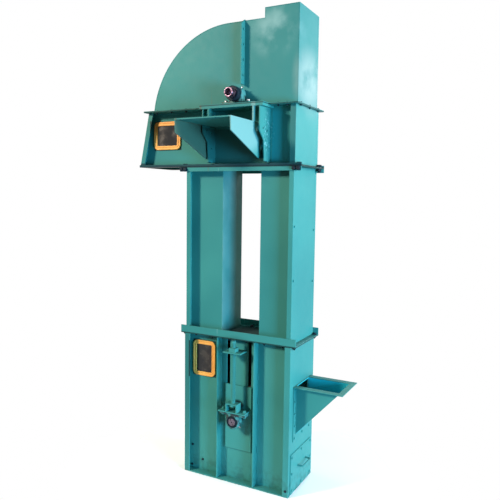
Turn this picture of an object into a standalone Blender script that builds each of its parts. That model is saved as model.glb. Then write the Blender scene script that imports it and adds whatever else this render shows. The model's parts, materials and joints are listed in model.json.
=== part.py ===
# Belt bucket elevator: boot with screw take-ups, two legs, a discharging head and its hood.
# Metres, +Z up. The front, with the drive platform, faces -Y and the inlet hopper is on +X.
# The origin is on the floor, midway between the two legs.

import math

import bmesh
import bpy
from mathutils import Matrix, Vector

# Sheet and fits
SHEET = 0.004
LEG_SHEET = 0.003
SEAT_GAP = 0.0003
RUNNING_FIT = 0.0001
ROUND = 48

# Casing widths: outer sides, lips folded in round them and the panels set back between the lips
BOOT_HALF_WIDTH = 0.334
BOOT_LIP = 0.034
PANEL_SETBACK = 0.050
LEG_SETBACK = 0.004
LEG_HALF_DEPTH = 0.160
BOOT_STEP = 0.008
LEG_LIP = 0.026
LEG_PANEL_SETBACK = 0.048
LEG_GAP_HALF = 0.118
HEAD_LIP = 0.030

# Levels and the flange frames between boot, legs, head and hood
FLOOR_THICKNESS = 0.005
BOOT_TOP_Z = 0.834
LEG_LENGTH = 0.950
HEAD_HEIGHT = 0.320
FRAME_LIP_SHEET = 0.006
FOOT_FRAME_OVERHANG = 0.028
FOOT_FRAME_LIP = 0.041
TOP_FRAME_OVERHANG = 0.038
TOP_FRAME_LIP = 0.026
BASE_FRAME_LIP = 0.014

# Boot shaft, its slot in the walls and the take-up that carries it
SHAFT_RADIUS = 0.0225
BOOT_SHAFT_Z = 0.370
BOOT_SHAFT_REACH = 0.082
SLOT_HALF = 0.0775
SLOT_BOTTOM_Z = 0.3297
SLIDE_HALF = 0.083
SLIDE_THICKNESS = 0.008
SLIDE_GAP = 0.0005
SLIDE_BELOW = 0.189
SLIDE_ABOVE = 0.189
SLIDE_HOLE_RADIUS = 0.030
RAIL_X = 0.118
RAIL_SETBACK = 0.001
SHELF_THICKNESS = 0.006
SHELF_REACH = 0.092
COLLAR_BOX_HALF = 0.035
COLLAR_BOX_NEAR = 0.042
COLLAR_BOX_HEIGHT = 0.046
COLLAR_BOX_WALL = 0.006
COLLAR_RADIUS = 0.020
COLLAR_HEIGHT = 0.012
SCREW_REACH = 0.067
SCREW_RADIUS = 0.0125
SCREW_RISE = 0.001
SCREW_HEAD_HEIGHT = 0.018
SCREW_GAP = 0.0001
SLOT_COVER_HALF = 0.058
SLOT_COVER_LENGTH = 0.320
NUT_PLATE_HALF = 0.055
NUT_PLATE_DROP = 0.070
NUT_PLATE_FLANGE = 0.068
NUT_PLATE_THICKNESS = 0.008
NUT_HALF = 0.020
NUT_HEIGHT = 0.022

# Bearings
BEARING_HEIGHT = 0.054
BEARING_FOOT_HALF = 0.083
BEARING_FOOT_HEIGHT = 0.018
BEARING_DOME_RADIUS = 0.043
BEARING_HALF_WIDTH = 0.022
BEARING_COLLAR_RADIUS = 0.033
BEARING_COLLAR_HALF = 0.027
BEARING_REACH = 0.057

# Belt, pulleys and buckets
BELT_INSIDE = 0.1508
BELT_THICKNESS = 0.006
BELT_HALF = 0.075
RUNNING_GAP = 0.0006
PULLEY_HALF = 0.085
PULLEY_RIM = 0.008
PULLEY_CROWN = 0.002
PULLEY_WEB = 0.008
PULLEY_WEB_Y = 0.050
PULLEY_HUB_RADIUS = 0.045
BUCKET_COUNT = 20
BUCKET_HALF = 0.070
BUCKET_REACH = 0.100
BUCKET_BACK = 0.100
BUCKET_WALL = 0.003
BUCKET_BELLY = 0.42
BUCKET_LIP = 0.35

# Inlet hopper and cleanout on the +X side
INLET_HALF = 0.088
INLET_BOTTOM_Z = 0.340
HOPPER_TOP_Z = 0.6043
HOPPER_REACH = 0.250
HOPPER_TOE_Z = 0.333
HOPPER_RIM_REACH = 0.278
HOPPER_RIM_HALF = 0.125
HOPPER_FLANGE_HALF = 0.118
HOPPER_FLANGE_BOTTOM_Z = 0.296
CLEANOUT_HALF = 0.115
CLEANOUT_BOTTOM_Z = 0.041
CLEANOUT_TOP_Z = 0.201
COVER_MARGIN = 0.029
HANDLE_Y = 0.005
HANDLE_HALF = 0.055
HANDLE_Z = 0.140
HANDLE_REACH = 0.036
HANDLE_RADIUS = 0.005

# Windows, by the distances from their outer edges to the casing and the frames round them
BOOT_WINDOW_LEFT = 0.030
BOOT_WINDOW_RIGHT = 0.037
BOOT_WINDOW_BELOW = 0.047
BOOT_WINDOW_HEIGHT = 0.208
HEAD_WINDOW_LEFT = 0.2495
HEAD_WINDOW_RIGHT = 0.0645
HEAD_WINDOW_BELOW = 0.057
HEAD_WINDOW_ABOVE = 0.103
GASKET_WIDTH = 0.0225
GASKET_DEPTH = 0.008
GASKET_CORNER = 0.022
PANE_THICKNESS = 0.003
PANE_LAP = 0.009

# Head casing, outlet and hood
DISCHARGE_TOP_REACH = 0.259
DISCHARGE_BOTTOM_REACH = 0.326
OUTLET_REACH = 0.044
THROAT_HEIGHT = 0.082
HOOD_STEP = 0.017
HOOD_FLANGE_REACH = 0.050
HOOD_FLANGE_OVERHANG = 0.021
HOOD_ARC_INSET = 0.259
HOOD_ARC_RADIUS = 0.505
HOOD_RISE = 0.444
HOOD_BOX_WIDTH = 0.1964
HOOD_BOX_RISE = 0.052
HOOD_JOINT_X = 0.018
HOOD_JOINT_THICKNESS = 0.008
HOOD_JOINT_REACH = 0.037
HOOD_JOINT_ABOVE = 0.111
HOOD_JOINT_CHAMFER = 0.024
ARC_STEPS = 32

# Head shaft, its bearing seats and the drive platform
HEAD_SHAFT_FRONT_REACH = 0.154
HEAD_SHAFT_BACK_REACH = 0.097
SHAFT_SLEEVE_RADIUS = 0.0255
SHAFT_SLEEVE_LENGTH = 0.037
LOCK_COLLAR_RADIUS = 0.034
LOCK_COLLAR_GAP = 0.001
SHAFT_END_BORE_RADIUS = 0.017
SHAFT_END_BORE_DEPTH = 0.030
HEAD_SHAFT_HOLE_RADIUS = 0.030
SEAT_REACH = 0.132
SEAT_HALF = 0.190
SEAT_PLATE = 0.012
CHEEK_X = 0.1735
CHEEK_THICKNESS = 0.006
CHEEK_TOP_REACH = 0.1286
CHEEK_KNEE_REACH = 0.0805
CHEEK_FOOT_REACH = 0.0708
CHEEK_NECK_DROP = 0.145
CHEEK_KNEE_DROP = 0.191
CHEEK_FOOT_DROP = 0.301
CHEEK_HOLE_RADIUS = 0.0055
CHEEK_HOLES = ((0.0895, 0.1305), (0.0446, 0.141), (0.0416, 0.223))
POST_X = 0.134
POST_DEPTH = 0.030
PLATFORM_LEFT_X = -0.190
PLATFORM_RIGHT_X = 0.136
PLATFORM_REACH = 0.362
PLATFORM_DROP = 0.098
PLATFORM_THICKNESS = 0.006
GUSSET_THICKNESS = 0.006
GUSSET_DROP = 0.183
GUSSET_TOE_REACH = 0.067
GUSSET_TIP_DROP = 0.069
GUSSET_TIP_BACK = 0.005
GUSSET_NOTCH_REACH = 0.048
GUSSET_NOTCH_DROP = 0.051
GUSSET_HEEL_DROP = 0.081

# Values that follow from the ones above: depths, measured from the leg outwards
BOOT_HALF_DEPTH = LEG_HALF_DEPTH + BOOT_STEP
HEAD_HALF_DEPTH = LEG_HALF_DEPTH
LEG_PANEL_Y = LEG_HALF_DEPTH - LEG_PANEL_SETBACK
FRAME_HALF_DEPTH = LEG_HALF_DEPTH + FRAME_LIP_SHEET + SEAT_GAP
PANEL_Y = BOOT_HALF_DEPTH - PANEL_SETBACK
RAIL_Y = BOOT_HALF_DEPTH - RAIL_SETBACK
SHELF_Y = PANEL_Y + SHELF_REACH
COLLAR_BOX_NEAR_Y = PANEL_Y + COLLAR_BOX_NEAR
SCREW_Y = PANEL_Y + SCREW_REACH
BEARING_Y = PANEL_Y + BEARING_REACH
BOOT_SHAFT_HALF = PANEL_Y + BOOT_SHAFT_REACH
HOOD_HALF_DEPTH = PANEL_Y + HOOD_STEP
HOOD_FLANGE_HALF_DEPTH = HOOD_HALF_DEPTH + HOOD_FLANGE_REACH
HOOD_JOINT_Y = HOOD_HALF_DEPTH + HOOD_JOINT_REACH
HEAD_SHAFT_FRONT_Y = -PANEL_Y - HEAD_SHAFT_FRONT_REACH
HEAD_SHAFT_BACK_Y = PANEL_Y + HEAD_SHAFT_BACK_REACH
SEAT_REACH_Y = PANEL_Y + SEAT_REACH
CHEEK_TOP_Y = PANEL_Y + CHEEK_TOP_REACH
CHEEK_KNEE_Y = PANEL_Y + CHEEK_KNEE_REACH
CHEEK_FOOT_Y = PANEL_Y + CHEEK_FOOT_REACH
POST_NEAR_Y = SEAT_REACH_Y - POST_DEPTH
PLATFORM_REACH_Y = PANEL_Y + PLATFORM_REACH
GUSSET_TOE_Y = PANEL_Y + GUSSET_TOE_REACH
GUSSET_NOTCH_Y = PANEL_Y + GUSSET_NOTCH_REACH

# Levels and widths
LEG_TOP_Z = BOOT_TOP_Z + LEG_LENGTH
HEAD_TOP_Z = LEG_TOP_Z + HEAD_HEIGHT
LEG_HALF_WIDTH = BOOT_HALF_WIDTH - LEG_SETBACK
FOOT_FRAME_HALF_WIDTH = BOOT_HALF_WIDTH + FOOT_FRAME_OVERHANG
TOP_FRAME_HALF_WIDTH = BOOT_HALF_WIDTH + TOP_FRAME_OVERHANG
HEAD_SHAFT_Z = HEAD_TOP_Z + BEARING_HEIGHT
PULLEY_RADIUS = BELT_INSIDE - RUNNING_GAP
BOOT_WALL_Z = FLOOR_THICKNESS + SEAT_GAP
BOOT_PLATE_Z = BOOT_TOP_Z - SHEET
BOOT_INNER_X = BOOT_HALF_WIDTH - SHEET - SEAT_GAP
SCREW_TOP_Z = BOOT_TOP_Z + SCREW_RISE
SLOT_COVER_BOTTOM_Z = BOOT_PLATE_Z - SLOT_COVER_LENGTH
NUT_PLATE_Z = BOOT_PLATE_Z - NUT_PLATE_DROP
NUT_PLATE_TOP_Z = NUT_PLATE_Z + NUT_PLATE_FLANGE
SHELF_Z = BOOT_SHAFT_Z + BEARING_HEIGHT
SHELF_TOP_Z = SHELF_Z + SHELF_THICKNESS
SLIDE_Y = PANEL_Y + SLIDE_GAP + SLIDE_THICKNESS
COLLAR_BOX_TOP_Z = SHELF_TOP_Z + COLLAR_BOX_HEIGHT
LEG_FOOT_Z = BOOT_TOP_Z + SHEET + 2 * SEAT_GAP
LEG_FRAME_Z = LEG_TOP_Z - SHEET - SEAT_GAP
HEAD_FLOOR_Z = LEG_TOP_Z + SHEET + SEAT_GAP
HEAD_PLATE_Z = HEAD_TOP_Z - 2 * SHEET - SEAT_GAP
DISCHARGE_TOP_X = -BOOT_HALF_WIDTH - DISCHARGE_TOP_REACH
DISCHARGE_BOTTOM_X = -BOOT_HALF_WIDTH - DISCHARGE_BOTTOM_REACH
OUTLET_EDGE_X = -BOOT_HALF_WIDTH - OUTLET_REACH
HOOD_FOOT_Z = HEAD_TOP_Z + SEAT_GAP
HOOD_TOP_Z = HEAD_TOP_Z + HOOD_RISE
HOOD_BOX_TOP_Z = HOOD_TOP_Z + HOOD_BOX_RISE
HOOD_BOX_X = BOOT_HALF_WIDTH - HOOD_BOX_WIDTH
HOOD_ARC_X = HOOD_ARC_INSET - BOOT_HALF_WIDTH
HOOD_FLANGE_LEFT_X = DISCHARGE_TOP_X - HOOD_FLANGE_OVERHANG
HOOD_FLANGE_RIGHT_X = BOOT_HALF_WIDTH + HOOD_FLANGE_OVERHANG
HOOD_JOINT_BOTTOM_Z = HEAD_TOP_Z + HOOD_JOINT_ABOVE
PLATFORM_TOP_Z = HEAD_TOP_Z - PLATFORM_DROP

# Each window's outer edges: left, right, bottom, top
BOOT_WINDOW = (BOOT_WINDOW_LEFT - BOOT_HALF_WIDTH, -RAIL_X - BOOT_WINDOW_RIGHT,
               BOOT_TOP_Z - BOOT_WINDOW_BELOW - BOOT_WINDOW_HEIGHT, BOOT_TOP_Z - BOOT_WINDOW_BELOW)
HEAD_WINDOW = (-BOOT_HALF_WIDTH - HEAD_WINDOW_LEFT, -BOOT_HALF_WIDTH - HEAD_WINDOW_RIGHT,
               LEG_TOP_Z + HEAD_WINDOW_ABOVE, HEAD_TOP_Z - HEAD_WINDOW_BELOW)

TEAL = (0.050, 0.300, 0.262, 1.0)
GASKET_ORANGE = (0.690, 0.330, 0.105, 1.0)
PANE_BLACK = (0.012, 0.013, 0.015, 1.0)
BEARING_BLACK = (0.020, 0.022, 0.026, 1.0)
STEEL = (0.420, 0.360, 0.350, 1.0)
BELT_BLACK = (0.022, 0.021, 0.020, 1.0)
PULLEY_GREY = (0.230, 0.235, 0.240, 1.0)


def clear_scene():
    for old in list(bpy.data.objects):
        bpy.data.objects.remove(old, do_unlink=True)


def make_collection(name):
    group = bpy.data.collections.new(name)
    bpy.context.scene.collection.children.link(group)
    return group


def make_material(name, colour, roughness, metallic):
    finish = bpy.data.materials.new(name)
    finish.use_nodes = True
    shader = finish.node_tree.nodes["Principled BSDF"]
    shader.inputs["Base Color"].default_value = colour
    shader.inputs["Roughness"].default_value = roughness
    shader.inputs["Metallic"].default_value = metallic
    finish.diffuse_color = colour
    return finish


clear_scene()
ELEVATOR = make_collection("bucket_elevator")
CUTTERS = make_collection("cutters")
PAINT = make_material("casing_paint", TEAL, 0.42, 0.0)
RUBBER = make_material("gasket_rubber", GASKET_ORANGE, 0.60, 0.0)
PANE = make_material("window_pane", PANE_BLACK, 0.12, 0.0)
IRON = make_material("bearing_iron", BEARING_BLACK, 0.50, 0.3)
BRIGHT = make_material("shaft_steel", STEEL, 0.35, 1.0)
BELTING = make_material("belt_rubber", BELT_BLACK, 0.75, 0.0)
DRUM = make_material("pulley_paint", PULLEY_GREY, 0.50, 0.4)


def make_empty(name, location, parent=None):
    axis = bpy.data.objects.new(name, None)
    ELEVATOR.objects.link(axis)
    axis.parent = parent
    axis.location = Vector(location) - (parent_place(parent) if parent else Vector())
    return axis


def parent_place(parent):
    place = Vector(parent.location)
    while parent.parent:
        parent = parent.parent
        place += parent.location
    return place


CASING = make_empty("casing", (0, 0, 0))
TAKEUP = make_empty("takeup_axis", (0, 0, BOOT_SHAFT_Z), CASING)
BOOT_AXIS = make_empty("boot_shaft_axis", (0, 0, BOOT_SHAFT_Z), TAKEUP)
HEAD_AXIS = make_empty("head_shaft_axis", (0, 0, HEAD_SHAFT_Z), CASING)


def put(name, mesh, centre, finish=None, parent=None, turn=(0, 0, 0)):
    """Link a mesh as an object at a world place, under its empty; without a finish it is a cutter."""
    piece = bpy.data.objects.new(name, mesh)
    piece.rotation_euler = turn
    if finish:
        ELEVATOR.objects.link(piece)
        mesh.materials.clear()
        mesh.materials.append(finish)
        piece.parent = parent or CASING
        piece.location = Vector(centre) - parent_place(piece.parent)
    else:
        CUTTERS.objects.link(piece)
        piece.location = centre
        piece.hide_render = True
        piece.display_type = "WIRE"
    return piece


def box(name, x, y, z, finish=None, parent=None):
    """A slab between two x, two y and two z values, with its origin at its centre."""
    sizes = [abs(hi - lo) for lo, hi in (x, y, z)]
    centre = [(lo + hi) / 2 for lo, hi in (x, y, z)]
    shape = bmesh.new()
    bmesh.ops.create_cube(shape, size=1.0)
    bmesh.ops.scale(shape, vec=sizes, verts=shape.verts)
    mesh = bpy.data.meshes.new(name)
    shape.to_mesh(mesh)
    shape.free()
    return put(name, mesh, centre, finish, parent)


def rod(name, radius, y, centre_x, centre_z, finish=None, parent=None, axis="Y", sides=ROUND):
    """A cylinder along Y, or along Z where centre_x and centre_z are its x and y."""
    low, high = min(y), max(y)
    shape = bmesh.new()
    bmesh.ops.create_cone(shape, cap_ends=True, segments=sides, radius1=radius, radius2=radius,
                          depth=high - low)
    if axis == "Y":
        bmesh.ops.rotate(shape, verts=shape.verts, matrix=Matrix.Rotation(math.pi / 2, 3, "X"))
        centre = (centre_x, (low + high) / 2, centre_z)
    else:
        centre = (centre_x, centre_z, (low + high) / 2)
    mesh = bpy.data.meshes.new(name)
    shape.to_mesh(mesh)
    shape.free()
    return put(name, mesh, centre, finish, parent)


TURNS = {"XY": (0, 0, 0), "XZ": (math.pi / 2, 0, 0), "YZ": (math.pi / 2, 0, math.pi / 2)}


def extruded(name, plane, outline, across, finish=None, parent=None, holes=()):
    """A flat outline in a plane, given its thickness between two values on the third axis."""
    flat = bpy.data.curves.new(name, "CURVE")
    flat.dimensions = "2D"
    flat.fill_mode = "BOTH"
    flat.extrude = abs(across[1] - across[0]) / 2
    middle = (across[0] + across[1]) / 2
    us = [u for u, v in outline]
    vs = [v for u, v in outline]
    pivot = ((min(us) + max(us)) / 2, (min(vs) + max(vs)) / 2)
    for loop in [outline, *holes]:
        spline = flat.splines.new("POLY")
        spline.points.add(len(loop) - 1)
        spline.use_cyclic_u = True
        for point, (u, v) in zip(spline.points, loop):
            point.co = (u - pivot[0], v - pivot[1], 0, 1)
    drawing = bpy.data.objects.new(name + "_outline", flat)
    CUTTERS.objects.link(drawing)
    bpy.context.view_layer.update()
    graph = bpy.context.evaluated_depsgraph_get()
    mesh = bpy.data.meshes.new_from_object(drawing.evaluated_get(graph))
    bpy.data.objects.remove(drawing, do_unlink=True)
    shape = bmesh.new()
    shape.from_mesh(mesh)
    bmesh.ops.remove_doubles(shape, verts=shape.verts, dist=0.00001)
    shape.to_mesh(mesh)
    shape.free()
    mesh.name = name
    centres = {"XY": (pivot[0], pivot[1], middle), "XZ": (pivot[0], middle, pivot[1]),
               "YZ": (middle, pivot[0], pivot[1])}
    return put(name, mesh, centres[plane], finish, parent, TURNS[plane])


def boolean(piece, other, operation):
    step = piece.modifiers.new(operation.lower(), "BOOLEAN")
    step.operation = operation
    step.solver = "EXACT"
    step.object = other
    return piece


def cut(piece, *cutters):
    for cutter in cutters:
        boolean(piece, cutter, "DIFFERENCE")
    return piece


def weld(piece, *others):
    for other in others:
        boolean(piece, other, "UNION")
    return piece


def rectangle(x, y):
    return [(x[0], y[0]), (x[1], y[0]), (x[1], y[1]), (x[0], y[1])]


def rounded(centre_u, centre_v, half_u, half_v, radius, steps=5):
    """A rectangle with round corners."""
    points = []
    corners = ((1, 1, 0), (-1, 1, 90), (-1, -1, 180), (1, -1, 270))
    for side_u, side_v, start in corners:
        for step in range(steps + 1):
            angle = math.radians(start + 90 * step / steps)
            points.append((centre_u + side_u * (half_u - radius) + radius * math.cos(angle),
                           centre_v + side_v * (half_v - radius) + radius * math.sin(angle)))
    return points


def circle(centre_u, centre_v, radius, steps=16):
    return arc(centre_u, centre_v, radius, 0, 360 - 360 / steps, steps - 1)


def arc(centre_u, centre_v, radius, start, end, steps):
    return [(centre_u + radius * math.cos(math.radians(start + (end - start) * step / steps)),
             centre_v + radius * math.sin(math.radians(start + (end - start) * step / steps)))
            for step in range(steps + 1)]


def channel(side, half_width, half_depth, lip_width):
    """Plan of a side sheet whose front and back edges are folded in as lips."""
    face, web, lip = side * half_width, side * (half_width - SHEET), side * (half_width - lip_width)
    inner = half_depth - SHEET
    return [(face, -half_depth), (face, half_depth), (lip, half_depth), (lip, inner),
            (web, inner), (web, -inner), (lip, -inner), (lip, -half_depth)]


def along_y(side, near, far):
    """A span of y on the front (side -1) or the back (side 1)."""
    return (side * near, side * far)


# Boot casing

def build_boot():
    box("boot_floor", (-BOOT_HALF_WIDTH, BOOT_HALF_WIDTH), (-BOOT_HALF_DEPTH, BOOT_HALF_DEPTH),
        (0, FLOOR_THICKNESS), PAINT)
    wall_z = (BOOT_WALL_Z, BOOT_PLATE_Z - SEAT_GAP)
    extruded("boot_left_side", "XY", channel(-1, BOOT_HALF_WIDTH, BOOT_HALF_DEPTH, BOOT_LIP), wall_z, PAINT)
    right = extruded("boot_right_side", "XY", channel(1, BOOT_HALF_WIDTH, BOOT_HALF_DEPTH, BOOT_LIP), wall_z,
                     PAINT)
    through = (BOOT_HALF_WIDTH - 3 * SHEET, BOOT_HALF_WIDTH + SHEET)
    cut(right,
        box("inlet_cutter", through, (-INLET_HALF, INLET_HALF), (INLET_BOTTOM_Z, HOPPER_TOP_Z - SHEET)),
        box("cleanout_cutter", through, (-CLEANOUT_HALF, CLEANOUT_HALF), (CLEANOUT_BOTTOM_Z, CLEANOUT_TOP_Z)))
    for side, label in ((-1, "front"), (1, "back")):
        build_boot_wall(side, label, wall_z)
        build_nut_bracket(side, label, wall_z[1])
    depth = (-FRAME_HALF_DEPTH, FRAME_HALF_DEPTH)
    outline = rectangle((-FOOT_FRAME_HALF_WIDTH, FOOT_FRAME_HALF_WIDTH), depth)
    extruded("boot_top_plate", "XY", outline, (BOOT_PLATE_Z, BOOT_TOP_Z), PAINT, holes=leg_openings())


def build_boot_wall(side, label, wall_z):
    """One long wall: a panel each side of the shaft slot, with its rail, and one below the slot."""
    sheet_y = along_y(side, PANEL_Y - SHEET, PANEL_Y)
    for end, place in ((-1, "left"), (1, "right")):
        panel = box(f"boot_{label}_{place}_panel", (end * SLOT_HALF, end * BOOT_INNER_X), sheet_y, wall_z,
                    PAINT)
        weld(panel, box(f"{label}_{place}_rail", (end * RAIL_X, end * (RAIL_X - SHEET)),
                        along_y(side, PANEL_Y - SHEET / 2, RAIL_Y), wall_z))
        if side < 0 and end < 0:
            cut(panel, window_cutter("boot_window_cutter", BOOT_WINDOW))
    box(f"boot_{label}_lower_panel", (-SLOT_HALF + SEAT_GAP, SLOT_HALF - SEAT_GAP), sheet_y,
        (BOOT_WALL_Z, SLOT_BOTTOM_Z), PAINT)


def build_nut_bracket(side, label, top_z):
    """The strip hung in the shaft slot, with the angle and square nut that the take-up screw turns in."""
    half = SLOT_COVER_HALF if side < 0 else SLOT_HALF - SEAT_GAP
    strip = box(f"takeup_nut_bracket_{label}", (-half, half),
                along_y(side, PANEL_Y - SHEET, PANEL_Y), (SLOT_COVER_BOTTOM_Z, top_z), PAINT)
    angle = [(side * (PANEL_Y - SHEET / 2), NUT_PLATE_Z), (side * SHELF_Y, NUT_PLATE_Z),
             (side * SHELF_Y, NUT_PLATE_Z + NUT_PLATE_THICKNESS),
             (side * (PANEL_Y + FRAME_LIP_SHEET), NUT_PLATE_Z + NUT_PLATE_THICKNESS),
             (side * (PANEL_Y + FRAME_LIP_SHEET), NUT_PLATE_TOP_Z),
             (side * (PANEL_Y - SHEET / 2), NUT_PLATE_TOP_Z)]
    nut_z = NUT_PLATE_Z + NUT_PLATE_THICKNESS
    weld(strip,
         extruded(f"{label}_nut_angle", "YZ", angle, (-NUT_PLATE_HALF, NUT_PLATE_HALF)),
         box(f"{label}_nut", (-NUT_HALF, NUT_HALF), along_y(side, SCREW_Y - NUT_HALF, SCREW_Y + NUT_HALF),
             (nut_z - SHEET, nut_z + NUT_HEIGHT)))
    bore_z = (NUT_PLATE_Z - SHEET, nut_z + 2 * NUT_HEIGHT)
    cut(strip, rod(f"{label}_nut_bore", SCREW_RADIUS + SCREW_GAP, bore_z, 0, side * SCREW_Y, axis="Z",
                   sides=24))


# Windows in rubber gaskets

def window_centre(window):
    left, right, bottom, top = window
    return (left + right) / 2, (bottom + top) / 2, (right - left) / 2, (top - bottom) / 2


def window_cutter(name, window):
    x, z, half_x, half_z = window_centre(window)
    opening_x = half_x - GASKET_WIDTH - PANE_LAP
    opening_z = half_z - GASKET_WIDTH - PANE_LAP
    return box(name, (x - opening_x, x + opening_x), (-PANEL_Y - SHEET, -PANEL_Y + 2 * SHEET),
               (z - opening_z, z + opening_z))


def build_window(label, window):
    x, z, half_x, half_z = window_centre(window)
    inner_x, inner_z = half_x - GASKET_WIDTH, half_z - GASKET_WIDTH
    inner_radius = 0.4 * GASKET_CORNER
    face = -PANEL_Y - SEAT_GAP
    extruded(f"{label}_window_gasket", "XZ", rounded(x, z, half_x, half_z, GASKET_CORNER),
             (face - GASKET_DEPTH, face), RUBBER, holes=[rounded(x, z, inner_x, inner_z, inner_radius)])
    extruded(f"{label}_window_pane", "XZ",
             rounded(x, z, inner_x - SEAT_GAP, inner_z - SEAT_GAP, inner_radius),
             (face - PANE_THICKNESS, face), PANE)


# Take-up: slide, shelf and collar box hang the boot bearing from a screw that turns in a fixed nut

def build_takeup(side, label):
    plate_z = (BOOT_SHAFT_Z - SLIDE_BELOW, BOOT_SHAFT_Z + SLIDE_ABOVE)
    slide = box(f"takeup_slide_{label}", (-SLIDE_HALF, SLIDE_HALF),
                along_y(side, PANEL_Y + SLIDE_GAP, SLIDE_Y), plate_z, PAINT, TAKEUP)
    weld(slide,
         box(f"{label}_shelf", (-SLIDE_HALF + SEAT_GAP, SLIDE_HALF - SEAT_GAP),
             along_y(side, SLIDE_Y - SHEET, SHELF_Y), (SHELF_Z, SHELF_TOP_Z)),
         build_collar_box(side, label))
    through = along_y(side, PANEL_Y - SHEET, SLIDE_Y + SHEET)
    cut(slide, rod(f"{label}_slide_bore", SLIDE_HOLE_RADIUS, through, 0, BOOT_SHAFT_Z))


def build_collar_box(side, label):
    """A strap bent over the shelf; the screw's collar turns inside it."""
    low = SHELF_TOP_Z - SHELF_THICKNESS / 2
    high = COLLAR_BOX_TOP_Z
    inner = COLLAR_BOX_HALF - COLLAR_BOX_WALL
    top = high - COLLAR_BOX_WALL
    strap = [(-COLLAR_BOX_HALF, low), (-inner, low), (-inner, top), (inner, top), (inner, low),
             (COLLAR_BOX_HALF, low), (COLLAR_BOX_HALF, high), (-COLLAR_BOX_HALF, high)]
    across = along_y(side, COLLAR_BOX_NEAR_Y, SHELF_Y - SEAT_GAP)
    collar_box = extruded(f"{label}_collar_box", "XZ", strap, across)
    bore_z = (top - SHEET, high + SHEET)
    return cut(collar_box, rod(f"{label}_collar_bore", SCREW_RADIUS + SCREW_GAP, bore_z, 0, side * SCREW_Y,
                               axis="Z", sides=24))


def build_screw(side, label):
    """The take-up screw: collar at its foot inside the box, hexagon at its head."""
    collar_top = COLLAR_BOX_TOP_Z - COLLAR_BOX_WALL - SCREW_GAP
    foot = collar_top - COLLAR_HEIGHT - SHELF_THICKNESS
    shank_top = SCREW_TOP_Z - SCREW_HEAD_HEIGHT
    screw = rod(f"takeup_screw_{label}", SCREW_RADIUS, (foot, shank_top), 0, side * SCREW_Y, PAINT, TAKEUP,
                axis="Z", sides=24)
    weld(screw,
         rod(f"{label}_screw_collar", COLLAR_RADIUS, (collar_top - COLLAR_HEIGHT, collar_top), 0,
             side * SCREW_Y, axis="Z", sides=24),
         rod(f"{label}_screw_head", SCREW_RADIUS - SCREW_GAP, (shank_top - SHEET, SCREW_TOP_Z), 0,
             side * SCREW_Y, axis="Z", sides=6))


# Bearings, shafts and pulleys

def build_bearing(name, side, centre_y, centre_z, up, parent):
    """A pillow block: foot, domed housing and the collars of its insert, bored for the shaft."""
    foot = centre_z - up * (BEARING_HEIGHT - SEAT_GAP)
    neck = foot + up * BEARING_FOOT_HEIGHT
    toe = foot + up * BEARING_FOOT_HEIGHT * 0.8
    start = 10
    dome = [(u, centre_z + up * (v - centre_z))
            for u, v in arc(0, centre_z, BEARING_DOME_RADIUS, start, 180 - start, 16)]
    waist = BEARING_DOME_RADIUS * 1.06
    outline = [(BEARING_FOOT_HALF, foot), (BEARING_FOOT_HALF, toe), (waist, neck), *dome, (-waist, neck),
               (-BEARING_FOOT_HALF, toe), (-BEARING_FOOT_HALF, foot)]
    y = side * centre_y
    block = extruded(name, "XZ", outline, (y - BEARING_HALF_WIDTH, y + BEARING_HALF_WIDTH), IRON, parent)
    collar = rod(name + "_collar", BEARING_COLLAR_RADIUS, (y - BEARING_COLLAR_HALF, y + BEARING_COLLAR_HALF),
                 0, centre_z)
    bore = rod(name + "_bore", SHAFT_RADIUS + RUNNING_FIT,
               (y - 2 * BEARING_COLLAR_HALF, y + 2 * BEARING_COLLAR_HALF), 0, centre_z)
    return cut(weld(block, collar), bore)


def build_pulley(name, centre_z, parent):
    """A crowned drum turned from one profile: rim, middle web and a hub bored for the shaft."""
    bore = SHAFT_RADIUS + SEAT_GAP
    inside = PULLEY_RADIUS - PULLEY_CROWN - PULLEY_RIM
    half = [(bore, PULLEY_WEB_Y), (PULLEY_HUB_RADIUS, PULLEY_WEB_Y), (PULLEY_HUB_RADIUS, PULLEY_WEB / 2),
            (inside, PULLEY_WEB / 2), (inside, PULLEY_HALF), (PULLEY_RADIUS - PULLEY_CROWN, PULLEY_HALF)]
    other = [(radius, -y) for radius, y in reversed(half)]
    profile = [*half, (PULLEY_RADIUS, 0), *other]
    shape = bmesh.new()
    points = [shape.verts.new((radius, 0, y)) for radius, y in profile]
    for start, end in zip(points, points[1:] + points[:1]):
        shape.edges.new((start, end))
    mesh = bpy.data.meshes.new(name)
    shape.to_mesh(mesh)
    shape.free()
    drum = put(name, mesh, (0, 0, centre_z), DRUM, parent, (math.pi / 2, 0, 0))
    spin = drum.modifiers.new("turned", "SCREW")
    spin.steps = ROUND
    spin.render_steps = ROUND
    spin.use_merge_vertices = True
    spin.merge_threshold = 0.0001
    spin.use_smooth_shade = True
    return drum


def build_boot_shaft():
    rod("boot_shaft", SHAFT_RADIUS, (-BOOT_SHAFT_HALF, BOOT_SHAFT_HALF), 0, BOOT_SHAFT_Z, BRIGHT, BOOT_AXIS)
    build_pulley("boot_pulley", BOOT_SHAFT_Z, BOOT_AXIS)


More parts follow.
